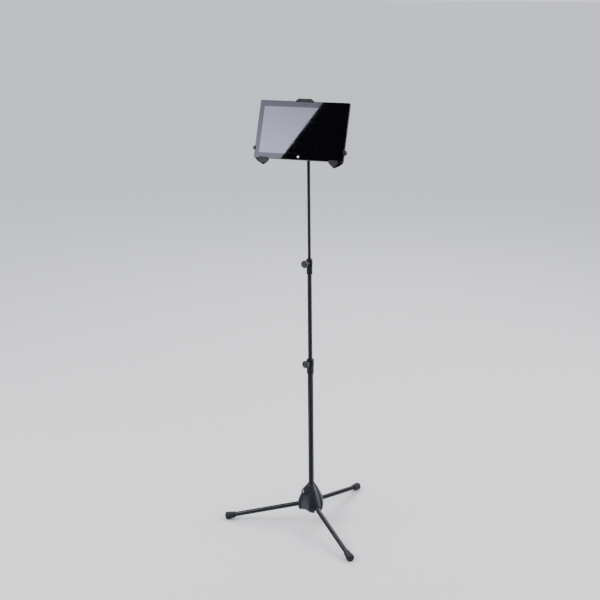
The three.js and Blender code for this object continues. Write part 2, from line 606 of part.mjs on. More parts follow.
function addTopJaw() {
  const half = TOP_ARM_WIDTH / 2;
  const armTop = TABLET_HEIGHT / 2 + 6;
  const screwY = TABLET_HEIGHT / 2 - 10;
  const screwHole = () => rod(4 + 2 * GAP, armBack - 1, clawFront + 1, 12).translate(0, screwY, 0);
  const arm = plate(outline([
    [-half, topArmBottom], [half, topArmBottom], [half, armTop - 4], [half - 4, armTop],
    [-half + 4, armTop], [-half, armTop - 4],
  ]), armBack, armFront, 0.5);
  add(holder, "top_arm", cut(arm, screwHole()), FINISH.plastic);

  const w = TOP_JAW_WIDTH / 2;
  const top = TABLET_HEIGHT / 2 + TOP_JAW_RISE;
  const lap = TABLET_HEIGHT / 2 - 2.6;
  const face = outline([[-w, lap], [w, lap], [w, lap + 4], [w - 8, top], [-w + 8, top], [-w, lap + 4]]);
  const spine = outline([[-14, screwY - 8], [14, screwY - 8], [18, jawInner + 3], [-18, jawInner + 3]]);
  const padInner = jawInner + padThickness + GAP;
  const dimple = (x) => block(x - 3.4, x + 3.4, lap + 3.4, top - 2.6, LIP_THICKNESS - 1.2, LIP_THICKNESS + 1);
  const jaw = cut(
    join(plate(face, clawBack, LIP_THICKNESS, 0.8), plate(spine, clawBack, clawFront, 0.5)),
    block(-w - 1, w + 1, 0, padInner, clawFront, GAP),
    dimple(-13.5), dimple(13.5),
    screwHole(),
  );
  add(holder, "top_jaw", jaw, FINISH.plastic);
  const pad = block(-w + 7, w - 7, jawInner, jawInner + padThickness, tabletBack + 0.6, -0.6);
  add(holder, "top_jaw_pad", pad, FINISH.rubber);
  const shank = rod(4, armBack + 1, clawFront - 1.2, 12).translate(0, screwY, 0);
  add(holder, "top_jaw_screw", shank, FINISH.steel);
}

/** Coil spring that pulls the top arm down, drawn with a closed hook-free round of wire. */
function addJawSpring() {
  const turns = 7;
  const wire = 1.0;
  const radius = 1.8;
  const [low, high] = [-35.5, topArmBottom - 1.4];
  const middle = (armFront + armBack) / 2;
  class Coil extends THREE.Curve {
    getPoint(t) {
      const angle = t * turns * 2 * Math.PI;
      const [x, y, z] = [radius * Math.cos(angle), low + (high - low) * t, middle + radius * Math.sin(angle)];
      return new THREE.Vector3(x, y, z);
    }
  }
  const section = new THREE.Shape();
  section.absarc(0, 0, wire / 2, 0, 2 * Math.PI, false);
  const coil = new THREE.ExtrudeGeometry(section, {
    steps: turns * 7, curveSegments: 2, bevelEnabled: false, extrudePath: new Coil(),
  });
  add(holder, "jaw_spring", coil, FINISH.steel);
}

/** One lower arm with its corner claw, soft pad and screw; side is 1 on the right and -1 on the left. */
function addLowerArm(side) {
  const label = side > 0 ? "right" : "left";
  const [hx, hy] = [TABLET_WIDTH / 2, TABLET_HEIGHT / 2];
  const [screwX, screwY] = alongArm(clawScrewAlong, 0);
  const screwHole = () => rod(4 + 2 * GAP, armBack - 1, clawFront + 1, 12).translate(side * screwX, screwY, 0);
  const bar = plate(sided(armCorners(0, ARM_WIDTH / 2), side), armBack, armFront, 0.5);
  add(holder, `${label}_arm`, cut(bar, screwHole()), FINISH.plastic);

  const [lipIn, lipOut] = [lipCentre - LIP_WIDTH / 2, lipCentre + LIP_WIDTH / 2];
  const lipTop = -hy + LIP_OVERLAP;
  const tip = -hy - LIP_DEPTH - 8; // lowest edge of the lip
  const blade = sided([
    [screwX - 2, screwY + 14], [screwX - 14, screwY + 2], [lipIn - 3, -hy + 2], [lipIn + 1, -hy - 8],
    [lipCentre - 2, tip - 3.5], [lipCentre + 3, tip - 3.5], [lipOut + 4, -hy - 9], [hx - 4, -hy - 2],
    [hx - 1.5, -hy + 4], [hx - 1.5, -hy + 22], [hx + FINGER_REACH, -hy + 24], [hx + FINGER_REACH, -hy + 35],
    [hx + 1, -hy + 37], [hx - 14, -hy + 27],
  ], side);
  const lip = sided([
    [lipIn, lipTop], [lipIn - 1.5, lipTop - 2], [lipIn - 1.5, -hy - LIP_DEPTH], [lipCentre - 4, tip],
    [lipCentre + 4, tip], [lipOut, -hy - LIP_DEPTH], [lipOut, lipTop],
  ], side);
  const finger = sided([
    [hx - 3, -hy + 25], [hx + FINGER_REACH - 1, -hy + 25], [hx + FINGER_REACH, -hy + 27],
    [hx + FINGER_REACH, -hy + 33], [hx + FINGER_REACH - 1, -hy + 35], [hx - 3, -hy + 35],
  ], side);
  const tabletRoom = block(-hx - GAP, hx + GAP, -hy - GAP - padThickness - GAP, hy, clawFront, GAP);
  const recess = rod(4.4, LIP_THICKNESS - 1.2, LIP_THICKNESS + 1, 12)
    .translate(side * (lipCentre + 4), -hy - 3, 0);
  const claw = cut(
    join(
      plate(blade, clawBack, clawFront, 0.6),
      plate(lip, clawBack, LIP_THICKNESS, 0.6),
      plate(finger, clawBack, LIP_THICKNESS, 0.6),
    ),
    tabletRoom, recess, screwHole(),
  );
  add(holder, `${label}_claw`, claw, FINISH.plastic);

  const [x0, x1] = side > 0 ? [lipIn + 1, lipOut - 1] : [-lipOut + 1, -lipIn - 1];
  const pad = block(x0, x1, -hy - GAP - padThickness, -hy - GAP, tabletBack + 0.6, -0.6);
  add(holder, `${label}_claw_pad`, pad, FINISH.rubber);
  const screw = rod(4, armBack + 1, clawFront - 1.2, 12).translate(side * screwX, screwY, 0);
  add(holder, `${label}_claw_screw`, screw, FINISH.steel);
}

// ---------------------------------------------------------------- tablet
const glassBack = -GLASS_THICKNESS;
const homeY = -TABLET_HEIGHT / 2 + DISPLAY_FOOT_MARGIN / 2;
const cameraY = TABLET_HEIGHT / 2 - DISPLAY_TOP_MARGIN / 2;

/** Side button: a bar let into the shell's edge, standing slightly proud of it. */
function addEdgeButton(name, x, y0, y1, inwards) {
  const proud = 0.7;
  const depth = 2.2;
  const [z0, z1] = [-5.9, -3.5];
  const [a, b] = inwards > 0 ? [x - proud, x + depth] : [x - depth, x + proud];
  add(holder, name, block(a, b, y0, y1, z0, z1), FINISH.plastic);
  return block(a - 2 * GAP, b + 2 * GAP, y0 - GAP, y1 + GAP, z0 - GAP, z1 + GAP);
}

function addTablet() {
  const displayX = TABLET_WIDTH / 2 - DISPLAY_SIDE_MARGIN;
  const displayLow = DISPLAY_FOOT_MARGIN - TABLET_HEIGHT / 2;
  const displayHigh = TABLET_HEIGHT / 2 - DISPLAY_TOP_MARGIN;
  const shellFront = glassBack - GAP;
  const displayBack = shellFront - DISPLAY_THICKNESS;
  const hx = TABLET_WIDTH / 2;
  const powerPocket = addEdgeButton("power_button", hx, 46, 58, -1);
  const volumePocket = addEdgeButton("volume_button", -hx, 30, 54, 1);
  const buttonWell = rod(HOME_BUTTON_OD + 2 * GAP, shellFront - 2, shellFront + 2, SMALL_ROUND);
  const shell = cut(
    plate(roundedRectangle(TABLET_WIDTH, TABLET_HEIGHT, TABLET_CORNER), tabletBack, shellFront, 1.2),
    block(
      -displayX - GAP, displayX + GAP, displayLow - GAP, displayHigh + GAP, displayBack - GAP, shellFront + 1,
    ),
    powerPocket, volumePocket, buttonWell.clone().translate(0, homeY, 0),
    rod(CAMERA_OD + 2 * GAP, shellFront - 2, shellFront + 2, SMALL_ROUND).translate(0, cameraY, 0),
  );
  add(holder, "tablet_shell", shell, FINISH.shell);

  const glass = cut(
    plate(roundedRectangle(TABLET_WIDTH, TABLET_HEIGHT, TABLET_CORNER), glassBack, 0, 0.25),
    rod(HOME_BUTTON_OD + 2 * GAP, glassBack - 1, 1, SMALL_ROUND).translate(0, homeY, 0),
    rod(CAMERA_OD + 2 * GAP, glassBack - 1, 1, SMALL_ROUND).translate(0, cameraY, 0),
  );
  add(holder, "tablet_glass", glass, FINISH.glass);
  const display = block(-displayX, displayX, displayLow, displayHigh, displayBack, shellFront);
  add(holder, "tablet_display", display, FINISH.display);
  const buttonBottom = shellFront - 1.2;
  const button = rod(HOME_BUTTON_OD, buttonBottom, -0.1, SMALL_ROUND).translate(0, homeY, 0);
  add(holder, "home_button", button, FINISH.light);
  const lens = rod(CAMERA_OD, shellFront - 1.6, -0.1, SMALL_ROUND).translate(0, cameraY, 0);
  add(holder, "camera_lens", lens, FINISH.glass);
}

// ---------------------------------------------------------------- assembly
addHub();
addHubPlug();
for (let i = 0; i < LEG_COUNT; i += 1) addLeg(i);
addTubes();
addClamp("lower", LOWER_CLAMP_BOTTOM, LOWER_OD, MIDDLE_OD);
addClamp("upper", UPPER_CLAMP_BOTTOM, MIDDLE_OD, UPPER_OD);
addFork();
addTiltBolt();
addRollJoint();
addHolderHousing();
addTopJaw();
addJawSpring();
addLowerArm(1);
addLowerArm(-1);
addTablet();

// The origin is the middle of the bounding box, at the floor.
stand.updateMatrixWorld(true);
const bounds = new THREE.Box3().setFromObject(stand, true);
stand.position.set(-(bounds.min.x + bounds.max.x) / 2, -(bounds.min.y + bounds.max.y) / 2, -bounds.min.z);
stand.updateMatrixWorld(true);

export default stand;
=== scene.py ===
"""Looks of a folding tablet music stand: tripod, telescopic pole, clamps, holder and tablet."""

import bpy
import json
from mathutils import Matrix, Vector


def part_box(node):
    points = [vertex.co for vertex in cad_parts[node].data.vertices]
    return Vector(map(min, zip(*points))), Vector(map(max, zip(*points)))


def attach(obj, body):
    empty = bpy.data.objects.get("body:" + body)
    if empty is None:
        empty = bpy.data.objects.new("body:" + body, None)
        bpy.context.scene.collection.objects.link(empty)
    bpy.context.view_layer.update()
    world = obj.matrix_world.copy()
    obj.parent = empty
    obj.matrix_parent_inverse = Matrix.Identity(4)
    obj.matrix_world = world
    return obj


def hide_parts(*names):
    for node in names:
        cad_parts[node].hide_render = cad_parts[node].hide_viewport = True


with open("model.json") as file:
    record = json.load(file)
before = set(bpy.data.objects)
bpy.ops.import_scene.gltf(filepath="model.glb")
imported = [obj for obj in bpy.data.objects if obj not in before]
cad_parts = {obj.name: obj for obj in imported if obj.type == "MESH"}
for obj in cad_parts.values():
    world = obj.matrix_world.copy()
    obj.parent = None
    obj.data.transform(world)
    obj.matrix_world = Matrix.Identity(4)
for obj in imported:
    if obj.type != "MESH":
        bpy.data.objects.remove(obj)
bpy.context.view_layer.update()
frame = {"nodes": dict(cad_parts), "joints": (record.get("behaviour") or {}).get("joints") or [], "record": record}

import json
import logging
import math
from dataclasses import dataclass
from enum import Enum
from typing import Iterable, Sequence

import bpy
from mathutils import Matrix, Vector

LOG = logging.getLogger("tablet_stand")
MM = 0.001
Profile = Sequence[tuple[float, float]]


# ------------------------------------------------------------------ small helpers
def srgb(code: str) -> tuple[float, float, float, float]:
    """Turn an sRGB hex colour into linear RGBA.

    Args:
        code: six hex digits.

    Returns:
        Linear red, green, blue and an alpha of 1.
    """
    parts = [int(code[i:i + 2], 16) / 255 for i in (0, 2, 4)]
    linear = [c / 12.92 if c <= 0.04045 else ((c + 0.055) / 1.055) ** 2.4 for c in parts]
    return (linear[0], linear[1], linear[2], 1.0)


def add_node(
    tree: bpy.types.NodeTree,
    kind: str,
    settings: dict[str, object] | None = None,
    links: dict[str, bpy.types.NodeSocket] | None = None,
) -> bpy.types.Node:
    """Add a shader node with its settings and incoming links.

    Args:
        tree: node tree to add to.
        kind: node type, such as ShaderNodeTexNoise.
        settings: input sockets by name, or node attributes by name where no socket has it.
        links: output sockets to plug in, by input name.

    Returns:
        The new node.
    """
    node = tree.nodes.new(kind)
    for name, value in (settings or {}).items():
        if name in node.inputs:
            node.inputs[name].default_value = value
        else:
            setattr(node, name, value)
    for name, source in (links or {}).items():
        tree.links.new(source, node.inputs[name])
    return node


def deselect() -> None:
    """Leave edit mode and deselect every object."""
    if bpy.context.object and bpy.context.object.mode != "OBJECT":
        bpy.ops.object.mode_set(mode="OBJECT")
    bpy.ops.object.select_all(action="DESELECT")


def activate(piece: bpy.types.Object) -> None:
    """Make one object the only selected and active one.

    Args:
        piece: the object.
    """
    deselect()
    piece.select_set(True)
    bpy.context.view_layer.objects.active = piece


def activate_with(piece: bpy.types.Object) -> None:
    """Add one object to the selection and make it the active one.

    Args:
        piece: the object.
    """
    piece.select_set(True)
    bpy.context.view_layer.objects.active = piece


def apply_modifier(piece: bpy.types.Object, kind: str, **settings: object) -> None:
    """Add a modifier with its settings and apply it.

    Args:
        piece: mesh to change.
        kind: modifier type.
        settings: modifier attributes by name.
    """
    activate(piece)
    modifier = piece.modifiers.new(kind.lower(), kind)
    for name, value in settings.items():
        setattr(modifier, name, value)
    bpy.ops.object.modifier_apply(modifier=modifier.name)


def smooth(piece: bpy.types.Object, degrees: float = 35.0) -> None:
    """Shade a piece smooth up to an angle between its faces."""
    activate(piece)
    bpy.ops.object.shade_smooth_by_angle(angle=math.radians(degrees))


def flatten(piece: bpy.types.Object) -> None:
    """Keep a piece's large faces flat to the light, so that only its rounded edges turn."""
    apply_modifier(piece, "WEIGHTED_NORMAL", weight=100, keep_sharp=True)


def name_new(name: str) -> bpy.types.Object:
    """Name the object that an operator has just added, and its mesh.

    Args:
        name: the new name.

    Returns:
        The object.
    """
    piece = bpy.context.object
    piece.name = name
    piece.data.name = name
    return piece


def settle(piece: bpy.types.Object, place: Matrix) -> bpy.types.Object:
    """Move a piece's place into its mesh, so that the object itself sits at the origin.

    Args:
        piece: mesh modelled in a local frame, in metres.
        place: where that frame lies in the stand's frame.

    Returns:
        The same piece.
    """
    deselect()
    piece.data.transform(place @ piece.matrix_world)
    piece.matrix_world = Matrix.Identity(4)
    piece.data.update()
    return piece


def clean(piece: bpy.types.Object) -> None:
    """Merge doubled points and turn every face outwards.

    Args:
        piece: mesh object to clean.
    """
    activate(piece)
    bpy.ops.object.mode_set(mode="EDIT")
    bpy.ops.mesh.select_all(action="SELECT")
    bpy.ops.mesh.remove_doubles(threshold=1e-6)
    bpy.ops.mesh.normals_make_consistent(inside=False)
    bpy.ops.object.mode_set(mode="OBJECT")


def turn(name: str, profile: Profile, sides: int = 96, ring: bool = False) -> bpy.types.Object:
    """Turn a profile about Z: draw it point by point with extrudes, then spin it.

    Args:
        name: piece name.
        profile: radius and height pairs in millimetres, from one end to the other.
        sides: steps round the turn.
        ring: whether the profile closes on itself, as a tube's wall does.

    Returns:
        The turned piece, about Z at the origin.
    """
    deselect()
    points = [Vector((r * MM, 0, z * MM)) for r, z in profile]
    bpy.ops.mesh.primitive_plane_add(size=0.002, location=points[0])
    piece = name_new(name)
    bpy.ops.object.transform_apply(location=True)
    bpy.ops.object.mode_set(mode="EDIT")
    bpy.ops.mesh.select_mode(type="VERT")
    bpy.ops.mesh.select_all(action="SELECT")
    bpy.ops.mesh.merge(type="CENTER")
    for here, there in zip(points, points[1:]):
        bpy.ops.mesh.extrude_region_move(TRANSFORM_OT_translate={"value": there - here})
    bpy.ops.mesh.select_all(action="SELECT")
    if ring:
        bpy.ops.mesh.edge_face_add()
        bpy.ops.mesh.delete(type="ONLY_FACE")
        bpy.ops.mesh.select_all(action="SELECT")
    bpy.ops.mesh.spin(steps=sides, angle=2 * math.pi, center=(0, 0, 0), axis=(0, 0, 1))
    bpy.ops.object.mode_set(mode="OBJECT")
    clean(piece)
    return piece


def slab(name: str, corners: Profile, back: float, front: float) -> bpy.types.Object:
    """Extrude an outline in the XY plane between two levels.

    Args:
        name: piece name.
        corners: outline in millimetres, in order round it.
        back: lower level in millimetres.
        front: upper level in millimetres.

    Returns:
        The extruded piece.
    """
    deselect()
    points = [Vector((x * MM, y * MM, back * MM)) for x, y in corners]
    bpy.ops.mesh.primitive_plane_add(size=0.002, location=points[0])
    piece = name_new(name)
    bpy.ops.object.transform_apply(location=True)
    bpy.ops.object.mode_set(mode="EDIT")
    bpy.ops.mesh.select_mode(type="VERT")
    bpy.ops.mesh.select_all(action="SELECT")
    bpy.ops.mesh.merge(type="CENTER")
    for here, there in zip(points, points[1:]):
        bpy.ops.mesh.extrude_region_move(TRANSFORM_OT_translate={"value": there - here})
    bpy.ops.mesh.select_all(action="SELECT")
    bpy.ops.mesh.edge_face_add()
    bpy.ops.mesh.extrude_region_move(TRANSFORM_OT_translate={"value": (0, 0, (front - back) * MM)})
    bpy.ops.object.mode_set(mode="OBJECT")
    clean(piece)
    return piece


def soften(piece: bpy.types.Object, width: float, segments: int = 3, degrees: float = 30.0) -> None:
    """Round a piece's sharp edges.

    Args:
        piece: mesh to round.
        width: bevel width in millimetres.
        segments: faces across the bevel.
        degrees: least angle of an edge that is rounded.
    """
    apply_modifier(
        piece, "BEVEL", width=width * MM, segments=segments, limit_method="ANGLE",
        angle_limit=math.radians(degrees), use_clamp_overlap=True,
    )


def carve(piece: bpy.types.Object, tool: bpy.types.Object, operation: str = "DIFFERENCE") -> None:
    """Cut a tool out of a piece, or join it on, and remove the tool."""
    apply_modifier(piece, "BOOLEAN", operation=operation, object=tool, solver="EXACT")
    bpy.data.objects.remove(tool, do_unlink=True)


def copy_of(node: str, name: str) -> bpy.types.Object:
    """Copy a CAD node's mesh, merged and with its flat faces made whole.

    Args:
        node: CAD node to copy.
        name: name of the copy.

    Returns:
        The copy, at the origin.
    """
    piece = frame["nodes"][node].copy()
    piece.data = frame["nodes"][node].data.copy()
    piece.name = name
    piece.data.name = name
    for key in [k for k in piece.keys() if k.startswith("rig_")]:
        del piece[key]
    piece.parent = None
    bpy.context.scene.collection.objects.link(piece)
    clean(piece)
    bpy.ops.object.mode_set(mode="EDIT")
    bpy.ops.mesh.select_all(action="SELECT")
    bpy.ops.mesh.dissolve_limited(angle_limit=math.radians(1.0))
    bpy.ops.object.mode_set(mode="OBJECT")
    return piece


def middle(node: str) -> Vector:
    """Centre of a CAD node's box."""
    low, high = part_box(node)
    return (low + high) / 2


def joint(name: str) -> dict:
    """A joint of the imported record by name."""
    return next(j for j in frame["joints"] if j["name"] == name)


# ------------------------------------------------------------------ finishes
def new_material(name: str) -> tuple[bpy.types.Material, bpy.types.NodeTree, bpy.types.Node]:
    """Make a node material with a Principled shader.

    Args:
        name: material name.

    Returns:
        The material, its node tree and its shader node.
    """
    material = bpy.data.materials.new(name)
    material.use_nodes = True
    tree = material.node_tree
    return material, tree, tree.nodes["Principled BSDF"]


@dataclass(frozen=True)
class Finish:
    """A surface with mottled colour, uneven gloss, fine relief and a little settled dust."""

    name: str
    color: str
    shade: str
    roughness: float
    metallic: float = 0.0
    ior: float = 1.5
    mottle_mm: float = 14.0
    grain_mm: float = 0.5
    relief_mm: float = 0.02
    gloss_swing: float = 0.08
    dust: float = 0.05
    coat: float = 0.0
    streak: tuple[float, float, float] = (1.0, 1.0, 1.0)

    def build(self) -> bpy.types.Material:
        """Make the material.

        Returns:
            A material that reads Object coordinates only.
        """
        material, tree, shader = new_material(self.name)
        shader.inputs["Metallic"].default_value = self.metallic
        if self.metallic < 0.5:
            shader.inputs["IOR"].default_value = self.ior
        if self.coat > 0:
            shader.inputs["Coat Weight"].default_value = self.coat
            shader.inputs["Coat Roughness"].default_value = 0.12
        place = add_node(tree, "ShaderNodeTexCoord").outputs["Object"]
        stretched = add_node(
            tree, "ShaderNodeMapping", {"Scale": self.streak}, {"Vector": place}
        ).outputs["Vector"]
        mottle = add_node(
            tree, "ShaderNodeTexNoise", {"Scale": 1000 / self.mottle_mm, "Detail": 5.0, "Roughness": 0.6},
            {"Vector": stretched},
        )
        tone = add_node(
            tree, "ShaderNodeMix", {"data_type": "RGBA"}, {"Factor": mottle.outputs["Fac"]}
        )
        tone.inputs[6].default_value = srgb(self.shade)
        tone.inputs[7].default_value = srgb(self.color)
        facing = add_node(
            tree, "ShaderNodeSeparateXYZ",
            links={"Vector": add_node(tree, "ShaderNodeNewGeometry").outputs["Normal"]},
        )
        fleck = add_node(
            tree, "ShaderNodeTexNoise", {"Scale": 1000 / 3.0, "Detail": 8.0, "Roughness": 0.75},
            {"Vector": place},
        )
        up = add_node(
            tree, "ShaderNodeMapRange",
            {"From Min": 0.3, "From Max": 1.0, "To Min": 0.0, "To Max": self.dust},
            {"Value": facing.outputs["Z"]},
        )
        settled = add_node(
            tree, "ShaderNodeMath", {"operation": "MULTIPLY"},
        )
        tree.links.new(up.outputs["Result"], settled.inputs[0])
        tree.links.new(fleck.outputs["Fac"], settled.inputs[1])
        dusty = add_node(tree, "ShaderNodeMix", {"data_type": "RGBA"}, {"Factor": settled.outputs["Value"]})
        tree.links.new(tone.outputs[2], dusty.inputs[6])
        dusty.inputs[7].default_value = srgb("9a9792")
        tree.links.new(dusty.outputs[2], shader.inputs["Base Color"])
        gloss = add_node(
            tree, "ShaderNodeMapRange",
            {
                "From Min": 0.3, "From Max": 0.7,
                "To Min": self.roughness - self.gloss_swing / 2,
                "To Max": self.roughness + self.gloss_swing / 2,
            },
            {"Value": mottle.outputs["Fac"]},
        )
        tree.links.new(gloss.outputs["Result"], shader.inputs["Roughness"])
        grain = add_node(
            tree, "ShaderNodeTexNoise", {"Scale": 1000 / self.grain_mm, "Detail": 3.0, "Roughness": 0.55},
            {"Vector": stretched},
        )
        bump = add_node(
            tree, "ShaderNodeBump", {"Strength": 0.35, "Distance": self.relief_mm * MM},
            {"Height": grain.outputs["Fac"]},
        )
        tree.links.new(bump.outputs["Normal"], shader.inputs["Normal"])
        return material


@dataclass(frozen=True)
class BlackGlass:
    """Cover glass over black ink: deep, mirror-smooth, with the faint smear of a wiping cloth."""

    name: str
    tint: str
    ior: float
    roughness: float

    def build(self) -> bpy.types.Material:
        """Make the material.

        Returns:
            An opaque glossy material.
        """
        material, tree, shader = new_material(self.name)
        shader.inputs["IOR"].default_value = self.ior
        place = add_node(tree, "ShaderNodeTexCoord").outputs["Object"]
        wiped = add_node(tree, "ShaderNodeMapping", {"Scale": (1.0, 6.0, 6.0)}, {"Vector": place})
        smear = add_node(
            tree, "ShaderNodeTexNoise", {"Scale": 1000 / 60.0, "Detail": 6.0, "Roughness": 0.65},
            {"Vector": wiped.outputs["Vector"]},
        )
        gloss = add_node(
            tree, "ShaderNodeMapRange",
            {"From Min": 0.35, "From Max": 0.75, "To Min": self.roughness, "To Max": self.roughness + 0.03},
            {"Value": smear.outputs["Fac"]},
        )
        tree.links.new(gloss.outputs["Result"], shader.inputs["Roughness"])
        depth = add_node(tree, "ShaderNodeMix", {"data_type": "RGBA"}, {"Factor": smear.outputs["Fac"]})
        depth.inputs[6].default_value = srgb("050507")
        depth.inputs[7].default_value = srgb(self.tint)
        tree.links.new(depth.outputs[2], shader.inputs["Base Color"])
        return material


class Finishes(Enum):
    """Every finish on the stand, by what the real surface is."""

    # Steel tube, black powder coat: semi-gloss with a fine orange peel and bright grazing edges.
    POWDER_COAT = Finish(
        "powder_coated_steel_tube", "24242b", "1c1c22", 0.24, ior=1.6, mottle_mm=40.0, grain_mm=1.1,
        relief_mm=0.008, gloss_swing=0.05, dust=0.02,
    )
    # Zinc casting under the same coat: rounder peel, softer gloss, a slightly bluer dark grey.
    COATED_CASTING = Finish(
        "coated_zinc_casting", "27282f", "1f2027", 0.34, ior=1.55, mottle_mm=18.0, grain_mm=1.3,
        relief_mm=0.03, gloss_swing=0.08, dust=0.03,
    )
    # Glass-filled nylon, moulded with a fine spark-eroded grain: dark and satin.
    NYLON = Finish(
        "moulded_glass_filled_nylon", "15161a", "101115", 0.42, ior=1.53, mottle_mm=9.0, grain_mm=0.55,
        relief_mm=0.045, gloss_swing=0.12, dust=0.06,
    )
    # Knobs in a smoother grey moulding, polished a little by fingers.
    KNOB = Finish(
        "moulded_knob_polyamide", "34353d", "292a31", 0.4, ior=1.53, mottle_mm=6.0, grain_mm=0.6,
        relief_mm=0.03, gloss_swing=0.14, dust=0.04,
    )
    # Soft rubber of the end caps and jaw pads: dull, bluish black, scuffed lighter in patches.
    RUBBER = Finish(
        "moulded_soft_rubber", "212227", "17181c", 0.72, ior=1.52, mottle_mm=7.0, grain_mm=0.8,
        relief_mm=0.06, gloss_swing=0.16, dust=0.1,
    )
    # Bright zinc plate on screws, studs and pins: pale metal with drawn marks.
    ZINC = Finish(
        "zinc_plated_steel", "c9ccd1", "a9adb4", 0.3, metallic=1.0, mottle_mm=3.0, grain_mm=0.4,
        relief_mm=0.01, gloss_swing=0.12, dust=0.0, streak=(1.0, 1.0, 6.0),
    )
    # Turned brass of the clamp pads: warm metal.
    BRASS = Finish(
        "turned_brass", "c79a4e", "a77a35", 0.32, metallic=1.0, mottle_mm=2.5, grain_mm=0.3,
        relief_mm=0.01, gloss_swing=0.1, dust=0.0,
    )
    # Soft-touch magnesium casing of the tablet: smooth satin black.
    CASING = Finish(
        "satin_magnesium_casing", "1d1e21", "17181b", 0.38, ior=1.5, mottle_mm=30.0, grain_mm=0.35,
        relief_mm=0.008, gloss_swing=0.05, dust=0.03,
    )
    # White enamel of the plain round button: clean and glossy, with no sign on it.
    WHITE_MARK = Finish(
        "white_enamelled_mark", "eceef0", "dfe1e4", 0.25, mottle_mm=2.0, grain_mm=0.5,
        relief_mm=0.004, gloss_swing=0.05, dust=0.0,
    )
    # Black-inked border of the cover glass. Its IOR is above real glass, so that its gloss is strong enough.
    BEZEL = BlackGlass("black_inked_cover_glass", "0b0b0e", 1.85, 0.012)
    # Glass over the switched-off display. A high IOR stands for the extra reflections of its layers.
    PANE = BlackGlass("cover_glass_over_dark_display", "0c0d12", 2.8, 0.012)

    def material(self) -> bpy.types.Material:
        """The finish's material, made the first time it is asked for."""
        found = bpy.data.materials.get(self.value.name)
        return found if found else self.value.build()


SLOTS = {
    Finishes.POWDER_COAT: "coated_tube", Finishes.COATED_CASTING: "coated_casting",
    Finishes.NYLON: "black_plastic", Finishes.KNOB: "knob_plastic", Finishes.RUBBER: "rubber",
    Finishes.ZINC: "zinc_steel", Finishes.BRASS: "brass", Finishes.CASING: "tablet_shell",
    Finishes.WHITE_MARK: "button_white", Finishes.BEZEL: "tablet_glass", Finishes.PANE: "tablet_display",
}


def dress(piece: bpy.types.Object, finish: Finishes) -> None:
    """Give a piece one finish, in place of what it had."""
    piece.data.materials.clear()
    piece.data.materials.append(finish.material())


def deliver(piece: bpy.types.Object, finish: Finishes, body: str, nodes: Iterable[str]) -> None:
    """Dress a finished piece, let it ride on its body and stand for its CAD nodes.

    Args:
        piece: finished mesh, in place, with its object at the origin.
        finish: its finish.
        body: CAD body that it rides on.
        nodes: CAD nodes that it stands for.
    """
    dress(piece, finish)
    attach(piece, body)
    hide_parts(*nodes)
    LOG.info("%s: %d faces on %s", piece.name, len(piece.data.polygons), body)


# ------------------------------------------------------------------ tripod
ALONG_X = Matrix.Rotation(math.pi / 2, 4, "Y")


def pole_axis() -> Vector:
    """Point where the pole's axis meets the floor."""
    centre = middle("lower_tube")
    return Vector((centre.x, centre.y, 0.0))


def frame_matrix(x: Vector, y: Vector, z: Vector, origin: Vector) -> Matrix:
    """Matrix of a local frame from its three axes and its origin.

    Args:
        x: direction of its X axis.
        y: direction of its Y axis.
        z: direction of its Z axis.
        origin: its origin in metres.

    Returns:
        The matrix.
    """
    place = Matrix((x, y, z)).transposed().to_4x4()
    place.translation = origin
    return place


def radial_frame(axis: Vector, height: float) -> Matrix:
    """Frame on the pole's axis, with +Z along an outward direction and +Y up.

    Args:
        axis: outward direction.
        height: height of the frame's origin in metres.

    Returns:
        The frame.
    """
    up = Vector((0, 0, 1))
    out = axis.normalized()
    return frame_matrix(up.cross(out), up, out, pole_axis() + Vector((0, 0, height)))


